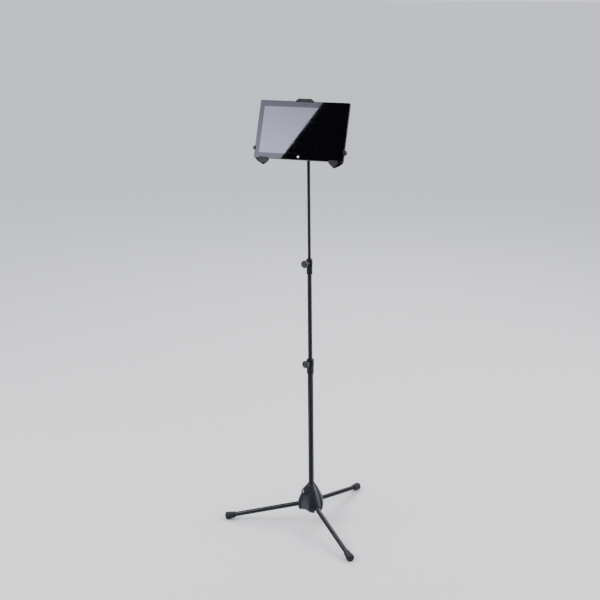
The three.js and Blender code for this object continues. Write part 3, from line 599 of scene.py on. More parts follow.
@dataclass
class TripodBase:
    """Cast hub with a lobe over each leg, its plug and tube screw, and three folding legs."""

    legs: int = 3
    rim_radius: float = 45.0
    rim_arch: float = 9.0
    top_radius: float = 12.8
    groove: float = 0.11
    slot_width: float = 17.0
    slot_back: float = 15.4
    leg_slope: float = 12.9
    leg_od: float = 16.0
    leg_wall: float = 1.2
    boss_radius: float = 9.0
    boss_reach: float = 35.5
    foot_neck: float = 10.5
    foot_radius: float = 13.0
    foot_length: float = 34.0

    def leg_direction(self, number: int) -> Vector:
        """Horizontal direction in which a leg runs out, from its hinge's axis."""
        axis = Vector(joint(f"leg_{number}_fold")["axis"])
        return Vector((axis.y, -axis.x, 0))

    def leg_frame(self, number: int) -> Matrix:
        """Frame with its origin on a leg's hinge pin and +X down along the leg.

        Args:
            number: leg number, from 1.

        Returns:
            The frame.
        """
        fold = joint(f"leg_{number}_fold")
        slope = math.radians(self.leg_slope)
        out = self.leg_direction(number)
        along = out * math.cos(slope) - Vector((0, 0, math.sin(slope)))
        across = Vector(fold["axis"]).normalized()
        return frame_matrix(along, across, along.cross(across), Vector(fold["pos_m"]))

    def bell(self) -> bpy.types.Object:
        """Model the hub's bell with its lobes, as one smooth shell before it is cut.

        Returns:
            The bell, in a local frame on the pole's axis.
        """
        low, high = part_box("base_hub")
        bottom, top = low.z / MM, high.z / MM
        height = top - bottom
        rim = self.rim_radius
        profile = [
            (0, bottom), (rim * 0.55, bottom), (rim - 3.6, bottom), (rim - 2.0, bottom + 0.5),
            (rim - 1.1, bottom + 2.2), (rim - 0.5, bottom + 6), (rim - 0.1, bottom + 14),
            (rim - 0.5, bottom + 25),
            (rim * 0.925, bottom + 37), (rim * 0.795, bottom + 50), (rim * 0.615, bottom + 65),
            (rim * 0.445, bottom + 78), (rim * 0.36, top - 7), (self.top_radius + 0.6, top - 2.6),
            (self.top_radius - 0.2, top - 0.5), (self.top_radius - 1.4, top), (5.0, top), (0, top),
        ]
        piece = turn("hub_bell", profile, 60)
        first = self.leg_direction(1)
        turn_of_first = math.atan2(first.y, first.x)
        for vertex in piece.data.vertices:
            x, y, z = vertex.co
            valley = ((1 - math.cos(self.legs * (math.atan2(y, x) - turn_of_first))) / 2) ** 2
            level = (z / MM - bottom) / height
            depth = self.groove * (1 - level ** 4) * valley
            on_rim = math.hypot(x, y) / MM > rim * 0.7
            lift = self.rim_arch * valley * max(0.0, 1 - level * height / 14) * on_rim
            vertex.co = (x * (1 - depth), y * (1 - depth), z + lift * MM)
        apply_modifier(piece, "SUBSURF", levels=2, render_levels=2)
        return piece

    def leg_slot(self, number: int) -> bpy.types.Object:
        """Cutter for the slot that one leg swings down in.

        Args:
            number: leg number, from 1.

        Returns:
            The cutter, in place.
        """
        fold = joint(f"leg_{number}_fold")
        pin = Vector(fold["pos_m"])
        radius = (pin - pole_axis()).xy.length / MM
        height = pin.z / MM
        reach = self.rim_radius + 10
        fall = math.tan(math.radians(self.leg_slope))
        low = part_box("base_hub")[0].z / MM - 10
        roof = height + self.slot_width / 2
        corners = [
            (self.slot_back, low), (reach, low), (reach, roof - (reach - radius) * fall), (radius, roof),
            (self.slot_back + 3, roof), (self.slot_back, roof - 3),
        ]
        cutter = slab(f"slot_cutter_{number}", corners, -self.slot_width / 2, self.slot_width / 2)
        out = self.leg_direction(number)
        up = Vector((0, 0, 1))
        return settle(cutter, frame_matrix(out, up, out.cross(up), pole_axis()))

    def screw_frame(self) -> Matrix:
        """Frame of the screw that holds the pole's tube, pointing out of its boss."""
        screw = middle("hub_tube_screw")
        return radial_frame(Vector((screw.x, screw.y, 0)) - pole_axis(), screw.z)

    def build_hub(self) -> None:
        """Build the hub, its boss and slots, the plug and the tube screw."""
        piece = settle(self.bell(), Matrix.Translation(pole_axis()))
        radius, reach = self.boss_radius, self.boss_reach
        boss = turn("boss", [
            (0, 11), (radius - 0.1, 11), (radius - 0.1, reach - 1.6), (radius - 0.4, reach - 0.7),
            (radius - 1.4, reach), (0, reach),
        ], 64)
        settle(boss, self.screw_frame())
        screw_height = self.screw_frame().translation.z / MM
        neck = turn("neck", [(0, screw_height), (12.6, screw_height), (12.6, 140.4), (0, 140.4)], 64)
        settle(neck, Matrix.Translation(pole_axis()))
        deselect()
        neck.select_set(True)
        activate_with(boss)
        bpy.ops.object.join()
        bpy.ops.object.mode_set(mode="EDIT")
        bpy.ops.mesh.select_all(action="SELECT")
        bpy.ops.mesh.convex_hull()
        bpy.ops.object.mode_set(mode="OBJECT")
        carve(piece, boss, "UNION")
        tube = (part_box("lower_tube")[1].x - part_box("lower_tube")[0].x) / MM
        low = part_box("lower_tube")[0].z / MM
        bore = turn("bore", [(0, low), (tube / 2 + 0.25, low), (tube / 2 + 0.25, 160), (0, 160)], 96)
        carve(piece, settle(bore, Matrix.Translation(pole_axis())))
        for number in range(1, self.legs + 1):
            carve(piece, self.leg_slot(number))
        clean(piece)
        smooth(piece, 32)
        piece.name = "cast_hub"
        deliver(piece, Finishes.COATED_CASTING, "base", ["base_hub"])

        base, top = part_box("hub_plug")
        low_mm, rim = base.z / MM, (top.x - base.x) / 2 / MM
        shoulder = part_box("base_hub")[0].z / MM - 0.3
        plug = turn("moulded_hub_plug", [
            (0, low_mm), (rim - 4.6, low_mm), (rim - 3.2, low_mm + 0.6), (rim - 1.2, low_mm + 3),
            (rim - 0.4, low_mm + 7),
            (rim, shoulder), (4, shoulder), (4, top.z / MM), (0, top.z / MM),
        ], 72)
        smooth(settle(plug, Matrix.Translation(pole_axis())))
        deliver(plug, Finishes.NYLON, "base", ["hub_plug"])

        face = reach + 0.3
        screw = turn("slotted_tube_screw", [
            (0, 9.4), (2.1, 9.4), (2.5, 10), (2.5, face), (5.7, face), (6.0, face + 0.3), (6.0, face + 1.9),
            (5.5, face + 2.6), (3.2, face + 3.0), (0, face + 3.0),
        ], 48)
        slot = slab("slot", [(-0.7, -8), (0.7, -8), (0.7, 8), (-0.7, 8)], face + 1.8, face + 8)
        carve(screw, slot)
        smooth(settle(screw, self.screw_frame()))
        deliver(screw, Finishes.ZINC, "base", ["hub_tube_screw"])

    def build_leg(self, number: int) -> None:
        """Build one leg's tube, knee, pin and foot.

        Args:
            number: leg number, from 1.
        """
        body = f"leg_{number}"
        place = self.leg_frame(number) @ ALONG_X
        outer, inner = self.leg_od / 2, self.leg_od / 2 - self.leg_wall
        start, end = 14.0, 267.9
        tube = turn(f"coated_leg_tube_{number}", [
            (inner, start), (outer - 0.4, start), (outer, start + 0.4), (outer, end), (inner, end),
        ], 72, ring=True)
        smooth(settle(tube, place))
        deliver(tube, Finishes.POWDER_COAT, body, [f"leg_tube_{number}"])

        knee = copy_of(f"leg_knee_{number}", f"cast_leg_knee_{number}")
        soften(knee, 0.35, 2)
        smooth(knee)
        deliver(knee, Finishes.COATED_CASTING, body, [f"leg_knee_{number}"])

        near = 256.98 - self.foot_length / 2
        far = near + self.foot_length
        neck, wide = self.foot_neck, self.foot_radius
        foot = turn(f"rubber_end_cap_{number}", [
            (outer + 0.3, near), (neck - 0.7, near), (neck - 0.1, near + 0.5), (neck + 0.1, near + 1.4),
            (neck - 0.25, near + 2.2), (neck, near + 3.2), (neck + 0.5, near + 11), (neck + 1.3, near + 16),
            (wide - 0.4, near + 20.5), (wide, near + 23), (wide, far - 7.2), (wide - 0.45, far - 6.6),
            (wide - 0.45, far - 5.9), (wide - 0.1, far - 5.3), (wide - 0.7, far - 3.4),
            (wide - 2.2, far - 1.6),
            (wide - 5, far - 0.4), (wide - 8, far), (0, far),
        ], 72)
        settle(foot, place)
        activate(foot)
        bpy.ops.object.mode_set(mode="EDIT")
        bpy.ops.mesh.select_all(action="SELECT")
        bpy.ops.mesh.bisect(plane_co=(0, 0, 0), plane_no=(0, 0, 1), use_fill=True, clear_inner=True)
        bpy.ops.object.mode_set(mode="OBJECT")
        clean(foot)
        smooth(foot, 40)
        deliver(foot, Finishes.RUBBER, body, [f"leg_foot_{number}"])

        pin = turn(f"zinc_hinge_pin_{number}", [
            (0, -13.9), (2.1, -13.9), (2.5, -13.5), (2.5, 13.5), (2.1, 13.9), (0, 13.9),
        ], 32)
        smooth(settle(pin, self.leg_frame(number) @ Matrix.Rotation(-math.pi / 2, 4, "X")))
        deliver(pin, Finishes.ZINC, "base", [f"leg_pin_{number}"])

    def build(self) -> None:
        """Build the whole tripod."""
        self.build_hub()
        for number in range(1, self.legs + 1):
            self.build_leg(number)


# ------------------------------------------------------------------ pole
def knob_piece(name: str, radius: float, length: float, bore: float, scallops: int) -> bpy.types.Object:
    """Model a hand knob about Z: a scalloped grip with a domed cap let into its face.

    Args:
        name: piece name.
        radius: grip radius in millimetres.
        length: length along Z in millimetres.
        bore: radius of the stud's hole in millimetres.
        scallops: finger hollows round the grip.

    Returns:
        The knob, its back at Z = 0.
    """
    cap = radius * 0.62
    piece = turn(name, [
        (bore, 0), (radius - 1.6, 0), (radius - 0.5, 0.4), (radius, 1.3), (radius, length * 0.5),
        (radius, length - 3.0), (radius - 0.35, length - 2.1), (radius - 1.2, length - 1.6),
        (cap + 0.7, length - 1.4), (cap + 0.35, length - 1.9), (cap, length - 1.9), (cap - 0.2, length - 0.9),
        (cap - 0.9, length - 0.45), (cap * 0.5, length - 0.08),
        (0, length), (0, length - 4.0), (bore, length - 4.0),
    ], 144, ring=False)
    for vertex in piece.data.vertices:
        x, y, z = vertex.co
        reach = math.hypot(x, y) / MM
        if reach > radius * 0.8:
            hollow = (1 - math.cos(scallops * math.atan2(y, x))) / 2
            shrink = 1 - 0.075 * hollow * min(1.0, (reach / radius - 0.8) / 0.12)
            vertex.co = (x * shrink, y * shrink, z)
    activate(piece)
    bpy.ops.object.mode_set(mode="EDIT")
    bpy.ops.mesh.select_all(action="DESELECT")
    bpy.ops.mesh.select_mode(type="EDGE")
    bpy.ops.mesh.select_non_manifold()
    bpy.ops.mesh.edge_face_add()
    bpy.ops.mesh.select_mode(type="VERT")
    bpy.ops.object.mode_set(mode="OBJECT")
    clean(piece)
    smooth(piece, 40)
    return piece


@dataclass
class Pole:
    """Three telescopic tubes and the two clamps with hand knobs."""

    wall: float = 1.2
    socket: float = 26.0
    collar_wall: float = 2.5
    boss_reach: float = 19.0
    knob_length: float = 11.0

    def build_tube(self, node: str, body: str) -> None:
        """Build one tube with eased rims.

        Args:
            node: CAD node of the tube.
            body: body it rides on.
        """
        low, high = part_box(node)
        outer = (high.x - low.x) / 2 / MM
        inner, bottom, top = outer - self.wall, low.z / MM, high.z / MM
        tube = turn(f"coated_{node}", [
            (inner, bottom), (outer - 0.3, bottom), (outer, bottom + 0.3), (outer, top - 0.3),
            (outer - 0.3, top),
            (inner, top),
        ], 96, ring=True)
        smooth(settle(tube, Matrix.Translation(pole_axis())))
        deliver(tube, Finishes.POWDER_COAT, body, [node])

    def build_clamp(self, name: str, body: str, outer_tube: str, inner_tube: str) -> None:
        """Build one clamp's collar and boss, and its knob.

        Args:
            name: lower or upper.
            body: body of the collar.
            outer_tube: CAD node that the collar sits on.
            inner_tube: CAD node that slides through it.
        """
        low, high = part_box(f"{name}_clamp_body")
        bottom, top = low.z / MM, high.z / MM
        outer = (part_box(outer_tube)[1].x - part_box(outer_tube)[0].x) / 2 / MM
        inner = (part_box(inner_tube)[1].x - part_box(inner_tube)[0].x) / 2 / MM
        reach = outer + self.collar_wall
        shoulder = bottom + self.socket + 2
        turning = joint(f"{name}_knob_turn")
        knob_height = turning["pos_m"][2]
        out = Vector(turning["axis"])
        collar = turn(f"moulded_{name}_clamp", [
            (outer + 0.3, bottom), (reach - 0.9, bottom), (reach - 0.3, bottom + 0.5),
            (reach - 0.1, bottom + 1.3),
            (reach - 0.2, shoulder - 4), (reach + 0.1, shoulder - 2.4), (reach + 0.5, shoulder - 0.6),
            (reach + 0.55, shoulder + 1), (reach + 0.5, top - 2.6), (reach + 0.1, top - 1.2),
            (reach - 0.9, top - 0.3), (reach - 2.0, top), (inner + 0.9, top), (inner + 0.3, top - 0.6),
            (inner + 0.3, bottom + self.socket + 0.3),
            (outer + 0.3, bottom + self.socket + 0.3),
        ], 96, ring=True)
        settle(collar, Matrix.Translation(pole_axis()))
        boss = turn("boss", [
            (0, inner + 1.5), (reach * 0.84, inner + 1.5), (reach * 0.8, reach * 0.75), (6.6, 15.4),
            (6.0, 18.2),
            (5.3, self.boss_reach), (0, self.boss_reach),
        ], 72)
        carve(collar, settle(boss, radial_frame(out, knob_height)), "UNION")
        shift = 0.75
        cheek = slab("cheek", [
            (-5.2, shoulder), (-4.4, shoulder - 1), (4.4, shoulder - 1), (5.2, shoulder),
            (5.2, top - 4), (4.4, top - 3),
            (-4.4, top - 3), (-5.2, top - 4),
        ], inner + 2, reach + 1.1)
        turned_out = Matrix.Rotation(shift, 3, "Z") @ out
        carve(collar, settle(cheek, radial_frame(turned_out, 0.0)), "UNION")
        bore = turn("bore", [(0, 0), (inner + 0.3, 0), (inner + 0.3, 2000), (0, 2000)], 96)
        carve(collar, settle(bore, Matrix.Translation(pole_axis())))
        stud_hole = turn("hole", [(0, 0), (2.8, 0), (2.8, 30), (0, 30)], 48)
        carve(collar, settle(stud_hole, radial_frame(out, knob_height)))
        clean(collar)
        smooth(collar, 32)
        deliver(collar, Finishes.NYLON, body, [f"{name}_clamp_body"])

        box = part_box(f"{name}_clamp_knob")
        radius = (box[1].z - box[0].z) / 2 / MM
        knob = knob_piece(f"moulded_{name}_knob", radius, self.knob_length, 2.8, 8)
        centre = (middle(f"{name}_clamp_knob") - pole_axis()).xy.length
        back = Matrix.Translation((0, 0, centre - self.knob_length * MM / 2))
        settle(knob, radial_frame(out, knob_height) @ back)
        deliver(knob, Finishes.KNOB, f"{name}_knob", [f"{name}_clamp_knob"])

    def build(self) -> None:
        """Build the tubes and the clamps."""
        for node, body in (("lower_tube", "base"), ("middle_tube", "middle"), ("upper_tube", "upper")):
            self.build_tube(node, body)
        self.build_clamp("lower", "base", "lower_tube", "middle_tube")
        self.build_clamp("upper", "middle", "middle_tube", "upper_tube")


# ------------------------------------------------------------------ head and holder
@dataclass
class Head:
    """Fork on the pole, and tilting block with its bolt and knob."""

    knob_length: float = 14.0
    knob_radius: float = 13.0

    def build(self) -> None:
        """Build the head's pieces."""
        for node, body, name in (
            ("tilt_fork", "upper", "cast_tilt_fork"), ("tilt_block", "tilt", "cast_tilt_block"),
        ):
            piece = copy_of(node, name)
            soften(piece, 0.5, 3)
            smooth(piece)
            flatten(piece)
            deliver(piece, Finishes.COATED_CASTING, body, [node])
        bolt = copy_of("tilt_bolt", "hexagon_tilt_bolt")
        soften(bolt, 0.4, 2)
        smooth(bolt)
        deliver(bolt, Finishes.ZINC, "upper", ["tilt_bolt"])
        low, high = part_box("tilt_knob")
        knob = knob_piece("moulded_tilt_knob", self.knob_radius, self.knob_length, 3.3, 6)
        hinge = middle("tilt_bolt")
        place = frame_matrix(
            Vector((0, 1, 0)), Vector((0, 0, -1)), Vector((-1, 0, 0)),
            Vector((high.x, pole_axis().y, hinge.z)),
        )
        settle(knob, place)
        clean(knob)
        smooth(knob, 40)
        deliver(knob, Finishes.KNOB, "tilt_knob", ["tilt_knob"])


def holder_frame() -> Matrix:
    """Frame of the tablet, from the middle of its glass.

    Returns:
        The frame: X to the right, Y up the tablet's face, Z out of its glass.
    """
    up = Vector(joint("top_jaw_slide")["axis"]).normalized()
    out = Vector(joint("holder_roll")["axis"]).normalized()
    centre = middle("tablet_glass") + out * (Tablet.glass_thickness / 2 * MM)
    return frame_matrix(up.cross(out), up, out, centre)


@dataclass
class Holder:
    """Housing with three sliding arms, a sprung top jaw and two corner claws with soft pads."""

    housing_edge: float = 0.5
    arm_edge: float = 0.4
    pad_edge: float = 0.3
    screw_edge: float = 0.2

    def build_refined(
        self, node: str, name: str, body: str, finish: Finishes, edge: float
    ) -> bpy.types.Object:
        """Round the edges of a moulded or pressed piece.

        Args:
            node: CAD node it is worked up from.
            name: piece name.
            body: body it rides on.
            finish: its finish.
            edge: edge radius in millimetres.

        Returns:
            The finished piece.
        """
        piece = copy_of(node, name)
        soften(piece, edge, 3)
        smooth(piece)
        flatten(piece)
        deliver(piece, finish, body, [node])
        return piece

    def build(self) -> None:
        """Build the holder's pieces."""
        nylon, rubber = Finishes.NYLON, Finishes.RUBBER
        self.build_refined("holder_body", "moulded_holder_body", "holder", nylon, self.housing_edge)
        self.build_refined("holder_cover", "moulded_holder_cover", "holder", nylon, self.housing_edge)
        self.build_refined("top_arm", "moulded_top_arm", "top_jaw", nylon, self.arm_edge)
        self.build_refined("top_jaw", "moulded_top_jaw", "top_jaw", nylon, self.housing_edge)
        self.build_refined("top_jaw_pad", "rubber_top_jaw_pad", "top_jaw", rubber, self.pad_edge)
        for side in ("left", "right"):
            body = f"{side}_arm"
            self.build_refined(f"{side}_arm", f"moulded_{side}_arm", body, nylon, self.arm_edge)
            self.build_refined(f"{side}_claw", f"moulded_{side}_claw", body, nylon, self.housing_edge)
            self.build_refined(f"{side}_claw_pad", f"rubber_{side}_claw_pad", body, rubber, self.pad_edge)
        for number in range(1, 5):
            name = f"cover_screw_{number}"
            self.build_refined(name, f"zinc_{name}", "holder", Finishes.ZINC, self.screw_edge)


# ------------------------------------------------------------------ tablet
@dataclass
class Tablet:
    """Tablet with an eased casing, an inked cover glass, a dark display, a button and a camera."""

    glass_thickness: float = 1.0
    thickness: float = 9.4
    width: float = 281.0
    height: float = 177.0
    corner: float = 4.0
    side_margin: float = 15.5
    top_margin: float = 19.0
    foot_margin: float = 17.0
    button_radius: float = 3.5
    lens_radius: float = 2.0

    def rounded(
        self, width: float, height: float, radius: float, steps: int = 10
    ) -> list[tuple[float, float]]:
        """Outline of a rectangle with round corners.

        Args:
            width: full width in millimetres.
            height: full height in millimetres.
            radius: corner radius in millimetres.
            steps: points round each corner.

        Returns:
            Corner points in order.
        """
        points = []
        for quarter, (sx, sy) in enumerate(((1, 1), (-1, 1), (-1, -1), (1, -1))):
            for step in range(steps + 1):
                angle = (quarter + step / steps) * math.pi / 2
                points.append((
                    sx * (width / 2 - radius) + radius * math.cos(angle),
                    sy * (height / 2 - radius) + radius * math.sin(angle),
                ))
        return points

    def build(self) -> None:
        """Build the casing, glass, display, button, lens and side buttons."""
        place = holder_frame()
        back, level = -self.thickness, -self.glass_thickness - 0.02
        casing = slab("satin_tablet_casing", self.rounded(self.width, self.height, self.corner), back, level)
        soften(casing, 1.6, 5, 60)
        for node in ("power_button", "volume_button"):
            low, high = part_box(node)
            spot = place.inverted() @ middle(node)
            half = [(high.x - low.x) / 2 / MM + 0.6, (high - low).yz.length / 2 / MM + 0.1, 1.45]
            x, y, z = (c / MM for c in spot)
            pocket = slab("pocket", [
                (x - half[0], y - half[1]), (x + half[0], y - half[1]), (x + half[0], y + half[1]),
                (x - half[0], y + half[1]),
            ], z - half[2], z + half[2])
            carve(casing, pocket)
        clean(casing)
        smooth(settle(casing, place), 40)
        flatten(casing)
        deliver(casing, Finishes.CASING, "tablet", ["tablet_shell"])

        across, tall = self.width - 2 * self.side_margin, self.height - self.top_margin - self.foot_margin
        lift = (self.foot_margin - self.top_margin) / 2
        to_millimetres = place.inverted()
        home = (to_millimetres @ middle("home_button")).y / MM
        edge = self.rounded(self.width - 0.6, self.height - 0.6, self.corner - 0.3)
        bezel = slab("inked_cover_glass", edge, -1.0, 0.0)
        soften(bezel, 0.3, 3, 60)
        window = slab("window", self.rounded(across, tall, 0.4, 2), -2.0, 1.0)
        settle(window, Matrix.Translation((0, lift * MM, 0)))
        carve(bezel, window)
        eye = (to_millimetres @ middle("camera_lens")).y / MM
        for radius, y in ((self.button_radius + 0.25, home), (self.lens_radius + 0.15, eye)):
            hole = turn("hole", [(0, -2), (radius, -2), (radius, 1), (0, 1)], 64)
            carve(bezel, settle(hole, Matrix.Translation((0, y * MM, 0))))
        clean(bezel)
        smooth(settle(bezel, place), 40)
        flatten(bezel)
        deliver(bezel, Finishes.BEZEL, "tablet", ["tablet_glass"])

        pane = slab("dark_display_pane", self.rounded(across - 0.04, tall - 0.04, 0.4, 2), -1.0, 0.0)
        settle(pane, place @ Matrix.Translation((0, lift * MM, 0)))
        smooth(pane, 30)
        deliver(pane, Finishes.PANE, "tablet", ["tablet_display"])

        radius = self.button_radius
        button = turn("round_home_button", [
            (0, -2.4), (radius - 0.2, -2.4), (radius, -2.2), (radius, -0.35), (radius - 0.2, -0.12),
            (radius - 0.9, -0.1), (radius - 1.1, -0.22), (radius - 1.3, -0.22), (radius - 1.5, -0.12),
            (0, -0.12),
        ], 64)
        smooth(settle(button, place @ Matrix.Translation((0, home * MM, 0))), 40)
        deliver(button, Finishes.WHITE_MARK, "home_button", ["home_button"])

        radius = self.lens_radius
        lens = turn("camera_lens_window", [
            (0, -2.8), (radius, -2.8), (radius, -0.2), (radius - 0.25, -0.08), (radius - 0.6, -0.1),
            (radius - 0.75, -0.3), (radius * 0.35, -0.22), (0, -0.18),
        ], 48)
        smooth(settle(lens, place @ Matrix.Translation((0, eye * MM, 0))), 40)
        deliver(lens, Finishes.BEZEL, "tablet", ["camera_lens"])

        for node in ("power_button", "volume_button"):
            piece = copy_of(node, f"satin_{node}")
            soften(piece, 0.45, 4)
            smooth(piece, 50)
            deliver(piece, Finishes.CASING, node, [node])


def dress_cad_nodes() -> None:
    """Give every CAD node that still shows its finish, from its slot in the record."""
    by_slot = {slot_name: finish for finish, slot_name in SLOTS.items()}
    for part in frame["record"]["subparts"]:
        node = frame["nodes"][part["node"]]
        if node.hide_render:
            continue
        dress(node, by_slot[part["material_slot"]])
        smooth(node, 32)
        LOG.info("%s keeps its CAD shape", node.name)


# ------------------------------------------------------------------ studio
@dataclass
class Studio:
    """Pale floor, soft lights, the camera, and the card and flag that the tablet's glass mirrors."""

    camera_azimuth: float = 19.5
    camera_distance: float = 3.442
    camera_height: float = 1.878
    pitch: float = 17.7
    pan: float = -0.51
    roll: float = -0.65
    lens: float = 68.86
    card_distance: float = 2.6
    curtain_distance: float = 7.0
    curtain_levels: tuple[float, float] = (-5.0, 9.0)
    ceiling_height: float = 9.1
    curtain: tuple[tuple[str, float, float, str, float], ...] = (
        ("dark_left", -50.0, 0.0, "0c0c0e", 1.0), ("dark_right", 0.0, 60.0, "0c0c0e", 1.0),
        ("left_strip", -78.0, -50.0, "f0f0ff", 1.7), ("right_strip", 60.0, 86.0, "f2f0ff", 2.6),
        ("dim_left", -140.0, -78.0, "5a5a62", 1.0), ("dim_right", 86.0, 140.0, "5a5a62", 1.0),
    )
    card_top: tuple[float, float] = (0.0553, 0.086)
    card_bottom: tuple[float, float] = (-0.0536, -0.086)

    def towards(self, azimuth: float) -> Vector:
        """Horizontal direction at an azimuth, from -Y towards +X, in degrees."""
        angle = math.radians(azimuth)
        return Vector((math.sin(angle), -math.cos(angle), 0))

    def build_camera(self) -> bpy.types.Object:
        """Place the camera in front, above the top of the stand and looking slightly down.

        Returns:
            The camera.
        """
        camera = bpy.data.objects.new("camera", bpy.data.cameras.new("camera"))
        bpy.context.scene.collection.objects.link(camera)
        camera.data.lens = self.lens
        camera.data.sensor_width = 36.0
        camera.data.clip_end = 200.0
        out = self.towards(self.camera_azimuth)
        ahead = -out
        side = ahead.cross(Vector((0, 0, 1)))
        pitch, pan, roll = (math.radians(a) for a in (self.pitch, self.pan, self.roll))
        level = ahead * math.cos(pan) + side * math.sin(pan)
        right = side * math.cos(pan) - ahead * math.sin(pan)
        look = level * math.cos(pitch) - Vector((0, 0, 1)) * math.sin(pitch)
        up = right.cross(look)
        rolled_right = right * math.cos(roll) + up * math.sin(roll)
        rolled_up = up * math.cos(roll) - right * math.sin(roll)
        at = pole_axis() + out * self.camera_distance + Vector((0, 0, self.camera_height))
        camera.matrix_world = frame_matrix(rolled_right, rolled_up, -look, at)
        bpy.context.scene.camera = camera
        return camera

    def card_mesh(self, name: str, corners: Sequence[Vector], material: bpy.types.Material) -> None:
        """Add a flat card that only glossy surfaces see.

        Args:
            name: object name.
            corners: its four corners in order.
            material: what it is made of.
        """
        mesh = bpy.data.meshes.new(name)
        mesh.from_pydata([tuple(c) for c in corners], [], [tuple(range(len(corners)))])
        card = bpy.data.objects.new(name, mesh)
        bpy.context.scene.collection.objects.link(card)
        mesh.materials.append(material)
        card.visible_camera = False
        card.visible_diffuse = False
        card.visible_shadow = False
        card.visible_transmission = False

    def emitter(
        self,
        name: str,
        color: str,
        low_strength: float,
        high_strength: float,
        levels: tuple[float, float] = (0.0, 3.0),
    ) -> bpy.types.Material:
        """Emissive material whose strength runs evenly between two heights.

        Args:
            name: material name.
            color: sRGB hex colour.
            low_strength: emission strength at the lower height.
            high_strength: emission strength at the upper height.
            levels: the two heights in metres.

        Returns:
            The material.
        """
        material, tree, shader = new_material(name)
        tree.nodes.remove(shader)
        place = add_node(tree, "ShaderNodeTexCoord").outputs["Object"]
        height = add_node(tree, "ShaderNodeSeparateXYZ", links={"Vector": place}).outputs["Z"]
        strength = add_node(
            tree, "ShaderNodeMapRange",
            {"From Min": levels[0], "From Max": levels[1], "To Min": low_strength, "To Max": high_strength},
            {"Value": height},
        ).outputs["Result"]
        glow = add_node(tree, "ShaderNodeEmission", {"Color": srgb(color)}, {"Strength": strength})
        tree.links.new(glow.outputs["Emission"], tree.nodes["Material Output"].inputs["Surface"])
        return material

    def build_cards(self, camera: bpy.types.Object) -> None:
        """Hang the bright card and the black flag where the tilted glass mirrors them to the camera.

        Args:
            camera: the scene's camera.
        """
        glass = holder_frame()
        normal = (glass.to_3x3() @ Vector((0, 0, 1))).normalized()
        eye = camera.matrix_world.translation

        def mirrored(x: float, y: float) -> tuple[Vector, Vector]:
            """Point on the glass and the direction it mirrors to the camera.

            Args:
                x: place across the glass in metres.
                y: place up the glass in metres.

            Returns:
                The point and the direction.
            """
            point = glass @ Vector((x, y, 0))
            ray = (point - eye).normalized()
            return point, (ray - 2 * ray.dot(normal) * normal).normalized()

        centre, aim = mirrored(0.0, 0.0)
        plane = centre + aim * self.card_distance

        def landing(x: float, y: float) -> Vector:
            """Where the mirrored ray meets the card's plane."""
            point, ray = mirrored(x, y)
            return point + ray * ((plane - point).dot(aim) / ray.dot(aim))

        top, bottom = landing(*self.card_top), landing(*self.card_bottom)
        edge = (top - bottom).normalized()
        inwards = edge.cross(aim).normalized()
        if (landing(-0.13, 0.0) - bottom).dot(inwards) < 0:
            inwards = -inwards
        high, low = top + edge * 0.5, bottom - edge * 0.5
        self.card_mesh(
            "bright_card", [low, high, high + inwards * 1.5, low + inwards * 1.5],
            self.emitter("studio_card", "e2e1ff", 3.2, 1.45, (2.70, 3.05)),
        )
        behind = aim * 0.05
        wide = edge * 2.2
        self.card_mesh(
            "black_flag",
            [low - wide - inwards * 2.2 + behind, high + wide - inwards * 2.2 + behind,
             high + wide + inwards * 2.4 + behind, low - wide + inwards * 2.4 + behind],
            self.emitter("black_flag", "0a0a0b", 0.3, 0.3),
        )

    def build_curtain(self) -> None:
        """Stand a dark curtain behind the camera, with a bright strip and a dim card at each side."""
        for name, start, end, color, strength in self.curtain:
            corners = [
                pole_axis() + self.towards(self.camera_azimuth + angle) * self.curtain_distance
                for angle in (start, end)
            ]
            low, high = (Vector((0, 0, z)) for z in self.curtain_levels)
            self.card_mesh(
                name, [corners[0] + low, corners[1] + low, corners[1] + high, corners[0] + high],
                self.emitter(name, color, strength, strength),
            )

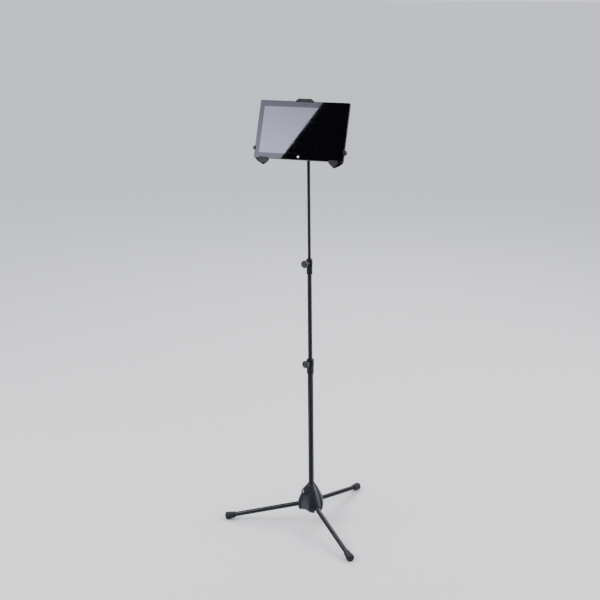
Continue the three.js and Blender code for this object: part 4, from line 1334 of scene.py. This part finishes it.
    def build_ceiling(self) -> None:
        """Hang a dark ceiling that only reflections see, so that the legs' upper sides keep a dark core."""
        centre = pole_axis() + Vector((0, 0, self.ceiling_height))
        half = self.curtain_distance * 1.6
        corners = [
            centre + Vector((x * half, y * half, 0)) for x, y in ((-1, -1), (1, -1), (1, 1), (-1, 1))
        ]
        self.card_mesh("dark_ceiling", corners, self.emitter("dark_ceiling", "26262a", 1.0, 1.0))

    def add_light(
        self, name: str, azimuth: float, distance: float, height: float, size: float, power: float
    ) -> None:
        """Add a soft square light aimed at the middle of the stand.

        Args:
            name: light name.
            azimuth: where it stands, in degrees from -Y towards +X.
            distance: horizontal distance from the pole in metres.
            height: height in metres.
            size: side of the square in metres.
            power: power in watts.
        """
        data = bpy.data.lights.new(name, "AREA")
        data.shape = "SQUARE"
        data.size = size
        data.energy = power
        lamp = bpy.data.objects.new(name, data)
        bpy.context.scene.collection.objects.link(lamp)
        lamp.location = pole_axis() + self.towards(azimuth) * distance + Vector((0, 0, height))
        target = pole_axis() + Vector((0, 0, 0.7))
        lamp.rotation_euler = (target - lamp.location).to_track_quat("-Z", "Y").to_euler()

    def build(self) -> None:
        """Build the floor, the world, the lights, the camera and the cards."""
        bpy.ops.mesh.primitive_plane_add(size=60.0, location=(0, 0, -0.0004))
        floor = name_new("pale_floor")
        material, tree, shader = new_material("pale_studio_floor")
        shader.inputs["Roughness"].default_value = 0.75
        shader.inputs["Base Color"].default_value = srgb("e8e9ea")
        floor.data.materials.append(material)
        floor.visible_glossy = False
        world = bpy.data.worlds.new("studio_world")
        world.use_nodes = True
        background = world.node_tree.nodes["Background"]
        background.inputs["Color"].default_value = srgb("e9ebf0")
        background.inputs["Strength"].default_value = 1.25
        bpy.context.scene.world = world
        self.add_light("key_softbox", -60.0, 2.4, 2.6, 1.6, 60.0)
        self.add_light("fill_softbox", 110.0, 2.6, 1.9, 1.6, 45.0)
        self.add_light("back_softbox", 190.0, 2.8, 2.8, 1.8, 40.0)
        self.build_cards(self.build_camera())
        self.build_curtain()
        self.build_ceiling()


def main() -> None:
    """Build the stand in order from the floor up, then the studio round it."""
    logging.basicConfig(level=logging.INFO, format="%(name)s: %(message)s")
    deselect()
    TripodBase().build()
    Pole().build()
    Head().build()
    Holder().build()
    Tablet().build()
    dress_cad_nodes()
    Studio().build()


if __name__ == "__main__":
    main()
